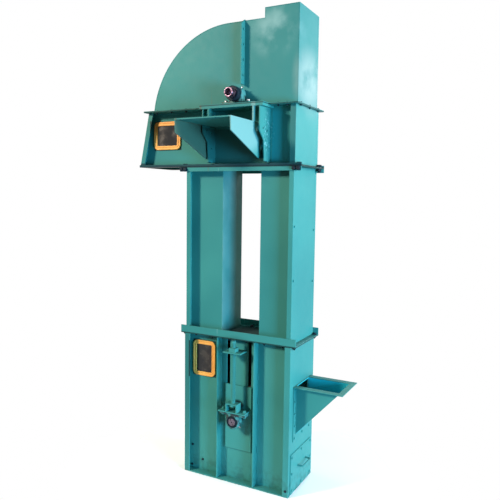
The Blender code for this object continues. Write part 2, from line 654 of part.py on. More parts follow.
def build_head_shaft():
    shaft = rod("head_shaft", SHAFT_RADIUS, (HEAD_SHAFT_FRONT_Y + SHEET, HEAD_SHAFT_BACK_Y), 0, HEAD_SHAFT_Z,
                BRIGHT, HEAD_AXIS)
    weld(shaft, rod("shaft_sleeve", SHAFT_SLEEVE_RADIUS,
                    (HEAD_SHAFT_FRONT_Y, HEAD_SHAFT_FRONT_Y + SHAFT_SLEEVE_LENGTH), 0, HEAD_SHAFT_Z))
    weld(shaft, rod("lock_collar", LOCK_COLLAR_RADIUS,
                    (HEAD_SHAFT_FRONT_Y + SHAFT_SLEEVE_LENGTH - SEAT_GAP,
                     -BEARING_Y - BEARING_COLLAR_HALF - LOCK_COLLAR_GAP), 0, HEAD_SHAFT_Z))
    cut(shaft, rod("shaft_end_bore", SHAFT_END_BORE_RADIUS,
                   (HEAD_SHAFT_FRONT_Y - SHEET, HEAD_SHAFT_FRONT_Y + SHAFT_END_BORE_DEPTH), 0, HEAD_SHAFT_Z))
    build_pulley("head_pulley", HEAD_SHAFT_Z, HEAD_AXIS)


# Belt with its buckets, one fixed loop round the two pulleys

def build_belt():
    belt = extruded("elevator_belt", "XZ", belt_loop(BELT_INSIDE + BELT_THICKNESS), (-BELT_HALF, BELT_HALF),
                    BELTING, holes=[belt_loop(BELT_INSIDE)])
    bucket = build_bucket()
    row = bmesh.new()
    for index in range(BUCKET_COUNT):
        before = len(row.verts)
        row.from_mesh(bucket)
        row.verts.ensure_lookup_table()
        bmesh.ops.transform(row, matrix=bucket_place(index), verts=row.verts[before:])
    mesh = bpy.data.meshes.new("bucket_row")
    row.to_mesh(mesh)
    row.free()
    weld(belt, put("bucket_row", mesh, (0, 0, 0)))


def belt_loop(radius):
    return arc(0, HEAD_SHAFT_Z, radius, 0, 180, ARC_STEPS) + arc(0, BOOT_SHAFT_Z, radius, 180, 360, ARC_STEPS)


def bucket_place(index):
    """Where a bucket sits: up the +X strand, over the head, down the -X strand and under the boot."""
    radius = BELT_INSIDE + BELT_THICKNESS
    straight = HEAD_SHAFT_Z - BOOT_SHAFT_Z
    bend = math.pi * radius
    along = (index + 0.5) * 2 * (straight + bend) / BUCKET_COUNT
    if along < straight:
        centre, turn, lift = BOOT_SHAFT_Z, 0.0, along
    elif along < straight + bend:
        centre, turn, lift = HEAD_SHAFT_Z, (along - straight) / radius, 0.0
    elif along < 2 * straight + bend:
        centre, turn, lift = HEAD_SHAFT_Z, math.pi, along - straight - bend
    else:
        centre, turn, lift = BOOT_SHAFT_Z, math.pi + (along - 2 * straight - bend) / radius, 0.0
    return (Matrix.Translation((0, 0, centre)) @ Matrix.Rotation(-turn, 4, "Y")
            @ Matrix.Translation((radius, 0, lift)))


def build_bucket():
    """One elevator bucket as a mesh, its back on x = 0 and its mouth up."""
    back, reach, wall = BUCKET_BACK / 2, BUCKET_REACH, BUCKET_WALL
    belly_radius, lip = reach * BUCKET_BELLY, back * BUCKET_LIP
    belly = arc(belly_radius, -back + belly_radius, belly_radius, 270, 325, 4)
    sunk = -BELT_THICKNESS / 3
    outside = [(sunk, back), (sunk, -back), *belly, (reach, lip)]
    hollow = [(wall, back + wall), (wall, -back + wall), (belly_radius, -back + wall),
              (belly[-1][0] - wall, belly[-1][1] + wall), (reach - wall, lip + wall),
              (reach - wall, back + wall)]
    shell = extruded("bucket", "XZ", outside, (-BUCKET_HALF, BUCKET_HALF))
    space = extruded("bucket_space", "XZ", hollow, (-BUCKET_HALF + wall, BUCKET_HALF - wall))
    cut(shell, space)
    bpy.context.view_layer.update()
    graph = bpy.context.evaluated_depsgraph_get()
    mesh = bpy.data.meshes.new_from_object(shell.evaluated_get(graph))
    mesh.transform(shell.matrix_world)
    for helper in (shell, space):
        bpy.data.objects.remove(helper, do_unlink=True)
    return mesh


# Inlet hopper and cleanout cover on the boot's +X side

def build_hopper():
    wall_x = BOOT_HALF_WIDTH + SEAT_GAP
    near = wall_x + SHEET + SEAT_GAP
    outer_y = INLET_HALF + SHEET
    rim_z = HOPPER_TOP_Z - SHEET
    top = rim_z - SEAT_GAP
    far_x = BOOT_HALF_WIDTH + HOPPER_REACH
    slope = (top - HOPPER_TOE_Z) / (far_x - near)
    rise = SHEET * math.hypot(1, slope)
    hopper = extruded("inlet_hopper", "XZ", [(near, HOPPER_TOE_Z), (far_x, top), (near, top)],
                      (-outer_y, outer_y), PAINT)
    over = top + SHEET
    space = [(near - SHEET, HOPPER_TOE_Z + rise - SHEET * slope),
             (near + (over - HOPPER_TOE_Z - rise) / slope, over), (near - SHEET, over)]
    cut(hopper, extruded("hopper_space", "XZ", space, (-INLET_HALF, INLET_HALF)))
    rim_x = BOOT_HALF_WIDTH + HOPPER_RIM_REACH
    extruded("hopper_rim", "XY", rectangle((wall_x, rim_x), (-HOPPER_RIM_HALF, HOPPER_RIM_HALF)),
             (rim_z, HOPPER_TOP_Z), PAINT,
             holes=[rectangle((near, far_x - SHEET), (-INLET_HALF, INLET_HALF))])
    extruded("hopper_flange", "YZ",
             rectangle((-HOPPER_FLANGE_HALF, HOPPER_FLANGE_HALF), (HOPPER_FLANGE_BOTTOM_Z, top)),
             (wall_x, wall_x + SHEET), PAINT,
             holes=[rectangle((-INLET_HALF, INLET_HALF), (INLET_BOTTOM_Z, top - SHEET))])


def build_cleanout():
    face = BOOT_HALF_WIDTH + SEAT_GAP
    cover = box("cleanout_cover", (face, face + SHEET),
                (-CLEANOUT_HALF - COVER_MARGIN, CLEANOUT_HALF + COVER_MARGIN),
                (CLEANOUT_BOTTOM_Z - COVER_MARGIN, CLEANOUT_TOP_Z + COVER_MARGIN), PAINT)
    weld(cover, handle_rod(face + SHEET / 2))


def handle_rod(root_x):
    """A bent round bar with two legs into the cover."""
    grip_x = root_x + HANDLE_REACH
    bend = 2 * HANDLE_RADIUS
    low, high = HANDLE_Y - HANDLE_HALF, HANDLE_Y + HANDLE_HALF
    path = [(root_x, low), (grip_x - bend, low), *bend_points(grip_x - bend, low + bend, bend, -90),
            *bend_points(grip_x - bend, high - bend, bend, 0), (grip_x - bend, high), (root_x, high)]
    bar = bpy.data.curves.new("handle_bar", "CURVE")
    bar.dimensions = "3D"
    bar.bevel_depth = HANDLE_RADIUS
    bar.bevel_resolution = 2
    bar.use_fill_caps = True
    spline = bar.splines.new("POLY")
    spline.points.add(len(path) - 1)
    for point, (x, y) in zip(spline.points, path):
        point.co = (x, y, HANDLE_Z, 1)
    drawing = bpy.data.objects.new("handle_bar", bar)
    CUTTERS.objects.link(drawing)
    bpy.context.view_layer.update()
    mesh = bpy.data.meshes.new_from_object(drawing.evaluated_get(bpy.context.evaluated_depsgraph_get()))
    bpy.data.objects.remove(drawing, do_unlink=True)
    shape = bmesh.new()
    shape.from_mesh(mesh)
    bmesh.ops.remove_doubles(shape, verts=shape.verts, dist=0.00001)
    shape.to_mesh(mesh)
    shape.free()
    return put("handle_bar", mesh, (0, 0, 0))


def bend_points(centre_x, centre_y, radius, start):
    """The inner points of a quarter bend, without its two ends."""
    return arc(centre_x, centre_y, radius, start + 22.5, start + 67.5, 2)


# Legs and the flange frames at their ends

def leg_openings():
    depth = (-LEG_PANEL_Y + LEG_SHEET, LEG_PANEL_Y - LEG_SHEET)
    return [rectangle((end * (LEG_GAP_HALF + LEG_SHEET), end * (LEG_HALF_WIDTH - LEG_SHEET)), depth)
            for end in (-1, 1)]


def build_leg(side, label):
    outer, lip, gap = side * LEG_HALF_WIDTH, side * (LEG_HALF_WIDTH - LEG_LIP), side * LEG_GAP_HALF
    web = side * (LEG_HALF_WIDTH - LEG_SHEET)
    inner_y = LEG_HALF_DEPTH - LEG_SHEET
    outline = [(outer, -LEG_HALF_DEPTH), (outer, LEG_HALF_DEPTH), (lip, LEG_HALF_DEPTH), (lip, inner_y),
               (web, inner_y), (web, LEG_PANEL_Y), (gap, LEG_PANEL_Y), (gap, -LEG_PANEL_Y),
               (web, -LEG_PANEL_Y), (web, -inner_y), (lip, -inner_y), (lip, -LEG_HALF_DEPTH)]
    hollow = leg_openings()[(side + 1) // 2]
    extruded(f"{label}_leg", "XY", outline, (LEG_FOOT_Z, LEG_FRAME_Z - SEAT_GAP), PAINT, holes=[hollow])


def build_frame(name, x, plate_z, lip_z, openings):
    """A flange frame: plate with openings, its front and back edges folded up or down as lips."""
    near, far = (plate_z[0], plate_z[1]) if lip_z > plate_z[1] else (plate_z[1], plate_z[0])
    edge, fold = FRAME_HALF_DEPTH, FRAME_HALF_DEPTH - FRAME_LIP_SHEET
    section = [(-edge, near), (edge, near), (edge, lip_z), (fold, lip_z), (fold, far), (-fold, far),
               (-fold, lip_z), (-edge, lip_z)]
    frame = extruded(name, "YZ", section, x, PAINT)
    for index, (low, *_, high) in enumerate((min(hole), max(hole)) for hole in openings):
        cut(frame, box(f"{name}_opening_{index}", (low[0], high[0]), (low[1], high[1]),
                       (plate_z[0] - SHEET, plate_z[1] + SHEET)))


def build_frames():
    foot = BOOT_TOP_Z + SEAT_GAP
    build_frame("leg_base_frame", (-FOOT_FRAME_HALF_WIDTH, FOOT_FRAME_HALF_WIDTH), (foot, foot + SHEET),
                foot + FOOT_FRAME_LIP, leg_openings())
    top = LEG_TOP_Z - SEAT_GAP
    build_frame("leg_top_frame", (-TOP_FRAME_HALF_WIDTH, TOP_FRAME_HALF_WIDTH), (top - SHEET, top),
                top - TOP_FRAME_LIP, leg_openings())
    outlet = rectangle((DISCHARGE_BOTTOM_X + 2.5 * SHEET, OUTLET_EDGE_X), (-LEG_PANEL_Y, LEG_PANEL_Y))
    build_frame("head_base_frame", (DISCHARGE_BOTTOM_X, TOP_FRAME_HALF_WIDTH), (LEG_TOP_Z, LEG_TOP_Z + SHEET),
                LEG_TOP_Z + BASE_FRAME_LIP, [outlet, *leg_openings()])


# Head casing with the slanted discharge side

def discharge_x(z):
    slope = (DISCHARGE_TOP_X - DISCHARGE_BOTTOM_X) / (HEAD_TOP_Z - LEG_TOP_Z)
    return DISCHARGE_BOTTOM_X + (z - LEG_TOP_Z) * slope


def build_head():
    low, high = HEAD_FLOOR_Z, HEAD_PLATE_Z - SEAT_GAP
    extruded("head_right_side", "XY", channel(1, BOOT_HALF_WIDTH, HEAD_HALF_DEPTH, HEAD_LIP), (low, high),
             PAINT)
    web = SHEET + 2 * SEAT_GAP
    outline = [(discharge_x(low) + web, low), (BOOT_INNER_X, low), (BOOT_INNER_X, high),
               (discharge_x(high) + web, high)]
    for side, label in ((-1, "front"), (1, "back")):
        wall = extruded(f"head_{label}_panel", "XZ", outline, along_y(side, PANEL_Y - SHEET, PANEL_Y), PAINT)
        if side < 0:
            cut(wall, window_cutter("head_window_cutter", HEAD_WINDOW))
    lean = [(discharge_x(low), low), (discharge_x(low) + HEAD_LIP, low),
            (discharge_x(high) + HEAD_LIP, high), (discharge_x(high), high)]
    side_sheet = extruded("discharge_side", "XZ", lean, (-HEAD_HALF_DEPTH, HEAD_HALF_DEPTH), PAINT)
    under, over = low - SHEET, high + SHEET
    inside = [(discharge_x(under) + SHEET, under), (0, under), (0, over), (discharge_x(over) + SHEET, over)]
    inner = HEAD_HALF_DEPTH - SHEET
    cut(side_sheet, extruded("discharge_space", "XZ", inside, (-inner, inner)))
    between = PANEL_Y - SHEET - SEAT_GAP
    box("throat_plate", (OUTLET_EDGE_X + SEAT_GAP, OUTLET_EDGE_X + SHEET), (-between, between),
        (low, low + THROAT_HEIGHT), PAINT)


# Hood over the head pulley

def hood_path(inset, foot_z):
    """The hood's curved half from its foot on the left up to the crown, moved in by an inset."""
    radius = HOOD_ARC_RADIUS - inset
    centre_z = HOOD_TOP_Z - HOOD_ARC_RADIUS
    foot = 180 - math.degrees(math.asin((foot_z - centre_z) / radius))
    return arc(HOOD_ARC_X, centre_z, radius, foot, 90, ARC_STEPS)


def build_hood():
    foot = HOOD_FOOT_Z
    width = (-HOOD_HALF_DEPTH, HOOD_HALF_DEPTH)
    seam = HOOD_JOINT_X - SEAT_GAP / 2
    under = HOOD_TOP_Z - SHEET
    curved = [*hood_path(0, foot), (seam, HOOD_TOP_Z), (seam, under), *reversed(hood_path(SHEET, foot))]
    extruded("hood_curved_sheet", "XZ", curved, width, PAINT)
    seam += SEAT_GAP
    right, inner_right = BOOT_HALF_WIDTH, BOOT_HALF_WIDTH - SHEET
    step, inner_step = HOOD_BOX_X, HOOD_BOX_X + SHEET
    lid, inner_lid = HOOD_BOX_TOP_Z, HOOD_BOX_TOP_Z - SHEET
    square = [(seam, under), (seam, HOOD_TOP_Z), (step, HOOD_TOP_Z), (step, lid), (right, lid), (right, foot),
              (inner_right, foot), (inner_right, inner_lid), (inner_step, inner_lid), (inner_step, under)]
    extruded("hood_square_sheet", "XZ", square, width, PAINT)
    inset = SHEET + SEAT_GAP
    notch = HEAD_SHAFT_HOLE_RADIUS
    side_plate = [*hood_path(inset, foot), (step + inset, HOOD_TOP_Z - inset), (step + inset, lid - inset),
                  (right - inset, lid - inset), (right - inset, foot), (notch, foot),
                  *arc(0, HEAD_SHAFT_Z, notch, 0, 180, ROUND // 3), (-notch, foot)]
    for side, label in ((-1, "front"), (1, "back")):
        across = along_y(side, HOOD_HALF_DEPTH - SHEET, HOOD_HALF_DEPTH)
        extruded(f"hood_{label}_side", "XZ", side_plate, across, PAINT)
    build_hood_joint()
    build_hood_flanges()


def build_hood_joint():
    """The two bolted edges of the hood's halves, standing out at its seam."""
    near, far = HOOD_HALF_DEPTH + SEAT_GAP, HOOD_JOINT_Y
    low, strap, top = HOOD_JOINT_BOTTOM_Z, HOOD_TOP_Z + SEAT_GAP, HOOD_TOP_Z + SEAT_GAP + SHEET
    shoulder = top - HOOD_JOINT_CHAMFER
    hoop = [(-far, low), (-near, low), (-near, strap), (near, strap), (near, low), (far, low),
            (far, shoulder), (near, top), (-near, top), (-far, shoulder)]
    half = HOOD_JOINT_THICKNESS / 2
    extruded("hood_joint_flange", "YZ", hoop, (HOOD_JOINT_X - half, HOOD_JOINT_X + half), PAINT)


def build_hood_flanges():
    outline = rectangle((HOOD_FLANGE_LEFT_X, HOOD_FLANGE_RIGHT_X),
                        (-HOOD_FLANGE_HALF_DEPTH, HOOD_FLANGE_HALF_DEPTH))
    inside = (-LEG_PANEL_Y, LEG_PANEL_Y)
    left, right = discharge_x(HEAD_PLATE_Z) + 3 * SHEET, BOOT_HALF_WIDTH - 1.5 * SHEET
    low = HEAD_PLATE_Z
    extruded("head_top_frame", "XY", outline, (low, low + SHEET), PAINT,
             holes=[rectangle((left, right), inside)])
    extruded("hood_flange", "XY", outline, (HEAD_TOP_Z - SHEET, HEAD_TOP_Z), PAINT,
             holes=[rectangle((left + SHEET, right), (-HOOD_HALF_DEPTH + SHEET, HOOD_HALF_DEPTH - SHEET))])


# Seats for the head bearings and the platform for the drive

def build_seat(side, label):
    """A bracket on the head wall: plate under the flanges, two cheeks and, in front, two posts."""
    top = HEAD_PLATE_Z - SEAT_GAP
    face = PANEL_Y + SEAT_GAP
    ledge = HOOD_FLANGE_HALF_DEPTH + 2 * SEAT_GAP
    bottom = top - SEAT_PLATE
    section = [(side * face, bottom), (side * SEAT_REACH_Y, bottom), (side * SEAT_REACH_Y, HEAD_TOP_Z),
               (side * ledge, HEAD_TOP_Z), (side * ledge, top), (side * face, top)]
    seat = extruded(f"bearing_seat_{label}", "YZ", section, (-SEAT_HALF, SEAT_HALF), PAINT)
    foot = HEAD_TOP_Z - CHEEK_FOOT_DROP
    cheek = [(side * face, foot), (side * CHEEK_FOOT_Y, foot),
             (side * CHEEK_KNEE_Y, HEAD_TOP_Z - CHEEK_KNEE_DROP),
             (side * CHEEK_TOP_Y, HEAD_TOP_Z - CHEEK_NECK_DROP),
             (side * CHEEK_TOP_Y, bottom + SHEET), (side * face, bottom + SHEET)]
    holes = [circle(side * (PANEL_Y + reach), HEAD_TOP_Z - drop, CHEEK_HOLE_RADIUS)
             for reach, drop in CHEEK_HOLES]
    for end in (-1, 1):
        across = (end * CHEEK_X, end * (CHEEK_X - CHEEK_THICKNESS))
        weld(seat, extruded(f"{label}_cheek", "YZ", cheek, across, holes=holes))
        if side < 0:
            weld(seat, box(f"{label}_post", (end * POST_X - SHEET, end * POST_X + SHEET),
                           (-SEAT_REACH_Y + SEAT_GAP, -POST_NEAR_Y),
                           (PLATFORM_TOP_Z + SEAT_GAP, bottom + SHEET)))


def build_platform():
    face = PANEL_Y + SEAT_GAP
    top = PLATFORM_TOP_Z
    low = top - PLATFORM_THICKNESS
    deck = box("drive_platform", (PLATFORM_LEFT_X, PLATFORM_RIGHT_X), (-PLATFORM_REACH_Y, -face), (low, top),
               PAINT)
    under = low + PLATFORM_THICKNESS / 2
    gusset = [(-face, top - GUSSET_DROP), (-GUSSET_TOE_Y, top - GUSSET_DROP),
              (-PLATFORM_REACH_Y + GUSSET_TIP_BACK, top - GUSSET_TIP_DROP),
              (-PLATFORM_REACH_Y + SEAT_GAP, under), (-GUSSET_NOTCH_Y, under),
              (-GUSSET_NOTCH_Y, top - GUSSET_NOTCH_DROP), (-face, top - GUSSET_HEEL_DROP)]
    inset = GUSSET_THICKNESS / 2
    for x in (PLATFORM_LEFT_X + inset, PLATFORM_RIGHT_X - inset):
        weld(deck, extruded("platform_gusset", "YZ", gusset, (x - inset + SEAT_GAP, x + inset - SEAT_GAP)))
    slot = (-CHEEK_X - SEAT_GAP, -CHEEK_X + CHEEK_THICKNESS + SEAT_GAP)
    cut(deck, box("cheek_slot", slot, (-CHEEK_TOP_Y - SEAT_GAP, -face + SHEET), (low - SHEET, top + SHEET)))


build_boot()
build_window("boot", BOOT_WINDOW)
build_window("head", HEAD_WINDOW)
for SIDE, LABEL in ((-1, "front"), (1, "back")):
    build_takeup(SIDE, LABEL)
    build_screw(SIDE, LABEL)
    build_bearing(f"boot_bearing_{LABEL}", SIDE, BEARING_Y, BOOT_SHAFT_Z, -1, TAKEUP)
    build_seat(SIDE, LABEL)
    build_bearing(f"head_bearing_{LABEL}", SIDE, BEARING_Y, HEAD_SHAFT_Z, 1, CASING)
build_boot_shaft()
build_head_shaft()
build_belt()
build_hopper()
build_cleanout()
build_leg(-1, "left")
build_leg(1, "right")
build_frames()
build_head()
build_hood()
build_platform()
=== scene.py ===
import json
import math

import bmesh
import bpy
from mathutils import Matrix, Vector


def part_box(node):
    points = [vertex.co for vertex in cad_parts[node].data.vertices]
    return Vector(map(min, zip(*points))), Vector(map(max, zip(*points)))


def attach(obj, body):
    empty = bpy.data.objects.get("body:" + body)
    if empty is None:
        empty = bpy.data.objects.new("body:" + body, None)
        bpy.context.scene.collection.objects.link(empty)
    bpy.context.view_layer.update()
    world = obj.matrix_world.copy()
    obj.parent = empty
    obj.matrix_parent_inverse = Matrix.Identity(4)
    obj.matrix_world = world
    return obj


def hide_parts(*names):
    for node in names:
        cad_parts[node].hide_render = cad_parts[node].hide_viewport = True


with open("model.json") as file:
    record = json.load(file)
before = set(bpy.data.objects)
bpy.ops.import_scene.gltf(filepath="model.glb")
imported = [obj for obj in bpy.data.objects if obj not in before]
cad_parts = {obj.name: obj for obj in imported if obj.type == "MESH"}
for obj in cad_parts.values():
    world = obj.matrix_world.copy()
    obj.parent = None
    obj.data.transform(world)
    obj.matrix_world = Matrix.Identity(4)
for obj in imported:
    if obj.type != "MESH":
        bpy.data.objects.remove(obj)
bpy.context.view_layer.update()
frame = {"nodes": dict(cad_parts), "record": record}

print("frame loaded:", len(frame["nodes"]), "nodes")

# view and light

view = {
    "place": (1.4975, -2.8629, 1.6206),
    "azimuth": 27.656,
    "pitch": -5.362,
    "roll": 0.743,
    "lens": 40.87,
}
cameraData = bpy.data.cameras.new("photoView")
cameraData.lens = view["lens"]
cameraData.sensor_width = 36
cameraObject = bpy.data.objects.new("photoView", cameraData)
bpy.context.scene.collection.objects.link(cameraObject)
cameraObject.matrix_world = (
    Matrix.Translation(view["place"])
    @ Matrix.Rotation(math.radians(view["azimuth"]), 4, "Z")
    @ Matrix.Rotation(math.radians(90 + view["pitch"]), 4, "X")
    @ Matrix.Rotation(math.radians(view["roll"]), 4, "Z")
)
bpy.context.scene.camera = cameraObject
bpy.context.scene.view_settings.view_transform = "Standard"

lamps = {
    "sunLamp": {"place": (-6.1, -7.5, 5.9), "aim": (0, 0, 1.2), "size": 1.6, "power": 1330,
                "colour": (1.0, 0.87, 0.70)},
    "skyFill": {"place": (4.6, -2.2, 0.9), "aim": (0.2, -0.1, 0.7), "size": 1.6, "power": 345,
                "colour": (0.16, 0.66, 1.0)},
    "rightWindow": {"place": (5.0, -0.3, 2.7), "aim": (0.2, 0, 2.1), "size": 2.0, "power": 340,
                    "colour": (0.96, 0.90, 0.92)},
    "leftSoft": {"place": (-5.0, 0.3, 2.5), "aim": (0, 0, 1.2), "size": 2.0, "power": 110,
                 "colour": (1.0, 0.98, 0.94)},
    "backSoft": {"place": (0.1, 5.5, 3.4), "aim": (0, 0, 1.3), "size": 2.2, "power": 220,
                 "colour": (0.80, 1.0, 1.0)},
}
for lampName, lamp in lamps.items():
    lampData = bpy.data.lights.new(lampName, "AREA")
    lampData.size = lamp["size"]
    lampData.energy = lamp["power"]
    lampData.color = lamp["colour"]
    lampObject = bpy.data.objects.new(lampName, lampData)
    bpy.context.scene.collection.objects.link(lampObject)
    lampObject.location = lamp["place"]
    aim = Vector(lamp["aim"]) - Vector(lamp["place"])
    lampObject.rotation_euler = aim.to_track_quat("-Z", "Y").to_euler()


# one socket of a material, so that sums on values can be written as sums
class Wire:
    def __init__(self, finish, socket):
        self.finish = finish
        self.socket = socket

    def __add__(self, other):
        return self.finish.maths(self, "ADD", other)

    def __radd__(self, other):
        return self.finish.maths(other, "ADD", self)

    def __sub__(self, other):
        return self.finish.maths(self, "SUBTRACT", other)

    def __rsub__(self, other):
        return self.finish.maths(other, "SUBTRACT", self)

    def __mul__(self, other):
        return self.finish.maths(self, "MULTIPLY", other)


# a material whose nodes are all made by one method
class Finish:
    def __init__(self, name, **fixed):
        self.material = bpy.data.materials.new(name)
        self.material.use_nodes = True
        self.tree = self.material.node_tree
        self.shader = self.tree.nodes["Principled BSDF"]
        for socketName, value in fixed.items():
            self.feed(self.shader.inputs[socketName.replace("_", " ").title()], value)
        self.place = self.node("ShaderNodeTexCoord", output="Object")

    def feed(self, socket, value):
        if isinstance(value, Wire):
            self.tree.links.new(value.socket, socket)
        elif value is not None:
            socket.default_value = value

    def node(self, kind, settings=None, sockets=None, output=0):
        fresh = self.tree.nodes.new(kind)
        for name, value in (settings or {}).items():
            setattr(fresh, name, value)
        for name, value in (sockets or {}).items():
            self.feed(fresh.inputs[name], value)
        return Wire(self, fresh.outputs[output])

    def maths(self, first, operation, second=0.0):
        return self.node("ShaderNodeMath", {"operation": operation}, {0: first, 1: second})

    def noise(self, scale, detail=3.0, stretch=(1, 1, 1)):
        spot = self.node("ShaderNodeMapping", {}, {"Vector": self.place, "Scale": stretch})
        return self.node("ShaderNodeTexNoise", {}, {"Vector": spot, "Scale": scale, "Detail": detail})

    # 0 below low, 1 above high, smooth between
    def step(self, value, low, high):
        return self.node("ShaderNodeMapRange", {"interpolation_type": "SMOOTHSTEP"},
                         {"Value": value, "From Min": low, "From Max": high})

    def mix(self, amount, first, second):
        return self.node("ShaderNodeMix", {"data_type": "RGBA"}, {0: amount, 6: first, 7: second}, output=2)

    def axis(self, vector, name):
        return self.node("ShaderNodeSeparateXYZ", {}, {"Vector": vector}, output=name)

    # 1 between low and high, 0 outside them, each given as the two ends of its soft edge
    def between(self, value, low, high):
        return self.step(value, *low) * (1 - self.step(value, *high))

    # 1 up to the first distance from a level, 0 from the second one outwards
    def near(self, value, level, first, second):
        return 1 - self.step(self.maths(value - level, "ABSOLUTE"), first, second)

    # 1 in the middle of a round mark, used for stains and for painted light and painted shade, 0 from its
    # reach outwards; the reaches are along x, y and z
    def stainLightAndShade(self, centre, reach, hard=0.2):
        away = self.node("ShaderNodeVectorMath", {"operation": "SUBTRACT"}, {0: self.place, 1: centre})
        away = self.node("ShaderNodeVectorMath", {"operation": "DIVIDE"}, {0: away, 1: reach})
        away = self.node("ShaderNodeVectorMath", {"operation": "LENGTH"}, {0: away}, output="Value")
        return 1 - self.step(away, hard, 1.0)

    def set(self, **sockets):
        for name, value in sockets.items():
            self.feed(self.shader.inputs[name.replace("_", " ").title()], value)

    def bump(self, height, distance):
        self.set(normal=self.node("ShaderNodeBump", {}, {"Height": height, "Distance": distance}))

    def polish(self, level):
        self.shader.inputs["Specular IOR Level"].default_value = level


paint = {
    "teal": (0.050, 0.262, 0.240, 1),
    "deepTeal": (0.036, 0.215, 0.205, 1),
    "boxTeal": (0.026, 0.185, 0.178, 1),
    "paintedBlueLight": (0.020, 0.520, 0.640, 1),
    "bloomAndPaintedLight": (0.340, 0.520, 0.500, 1),
    "paintedSheenGrey": (0.390, 0.460, 0.420, 1),
    "scuff": (0.300, 0.560, 0.600, 1),
    "gussetShade": (0.120, 0.132, 0.085, 1),
    "chip": (0.010, 0.055, 0.100, 1),
    "navy": (0.004, 0.030, 0.042, 1),
    "ledgeDirtAndShade": (0.022, 0.120, 0.118, 1),
    "grimeAndShade": (0.022, 0.070, 0.066, 1),
    "greaseAndShade": (0.006, 0.012, 0.012, 1),
    "roughness": 0.40,
    "waveHeight": 0.0012,
    "peelHeight": 0.00003,
    # round marks of painted light and painted shade: centre, reach along x, y and z
    "frontPaintedSheen": ((0.20, -0.14, 2.48), (0.19, 0.20, 0.17)),
    "sidePaintedSheen": ((0.334, 0.02, 2.23), (0.06, 0.26, 0.22)),
    "gussetPaintedLight": ((0.136, -0.33, 2.00), (0.02, 0.26, 0.20), 0.6),
    "gussetShadow": ((-0.187, -0.31, 1.95), (0.02, 0.40, 0.30), 0.4),
    "gapPlateShade": ((0, 0, 0.834), (0.20, 0.20, 0.050), 0.5),
    # dark seams between the flanges, with painted shadow under them: level, half width, strength
    "seamsAndShadows": ((1.7845, 0.0050, 0.90), (0.8325, 0.0040, 0.75), (2.0988, 0.0026, 0.75)),
    # windows: left, right, bottom, top of their outer edges
    "windows": ((-0.304, -0.155, 0.579, 0.787), (-0.5835, -0.3985, 1.887, 2.047)),
    # the soft edges between a recessed wall and what stands in front of it
    "wallFront": (-0.10, -0.09),
    "headWallFront": (-0.12, -0.11),
    "inletHalf": 0.088,
}
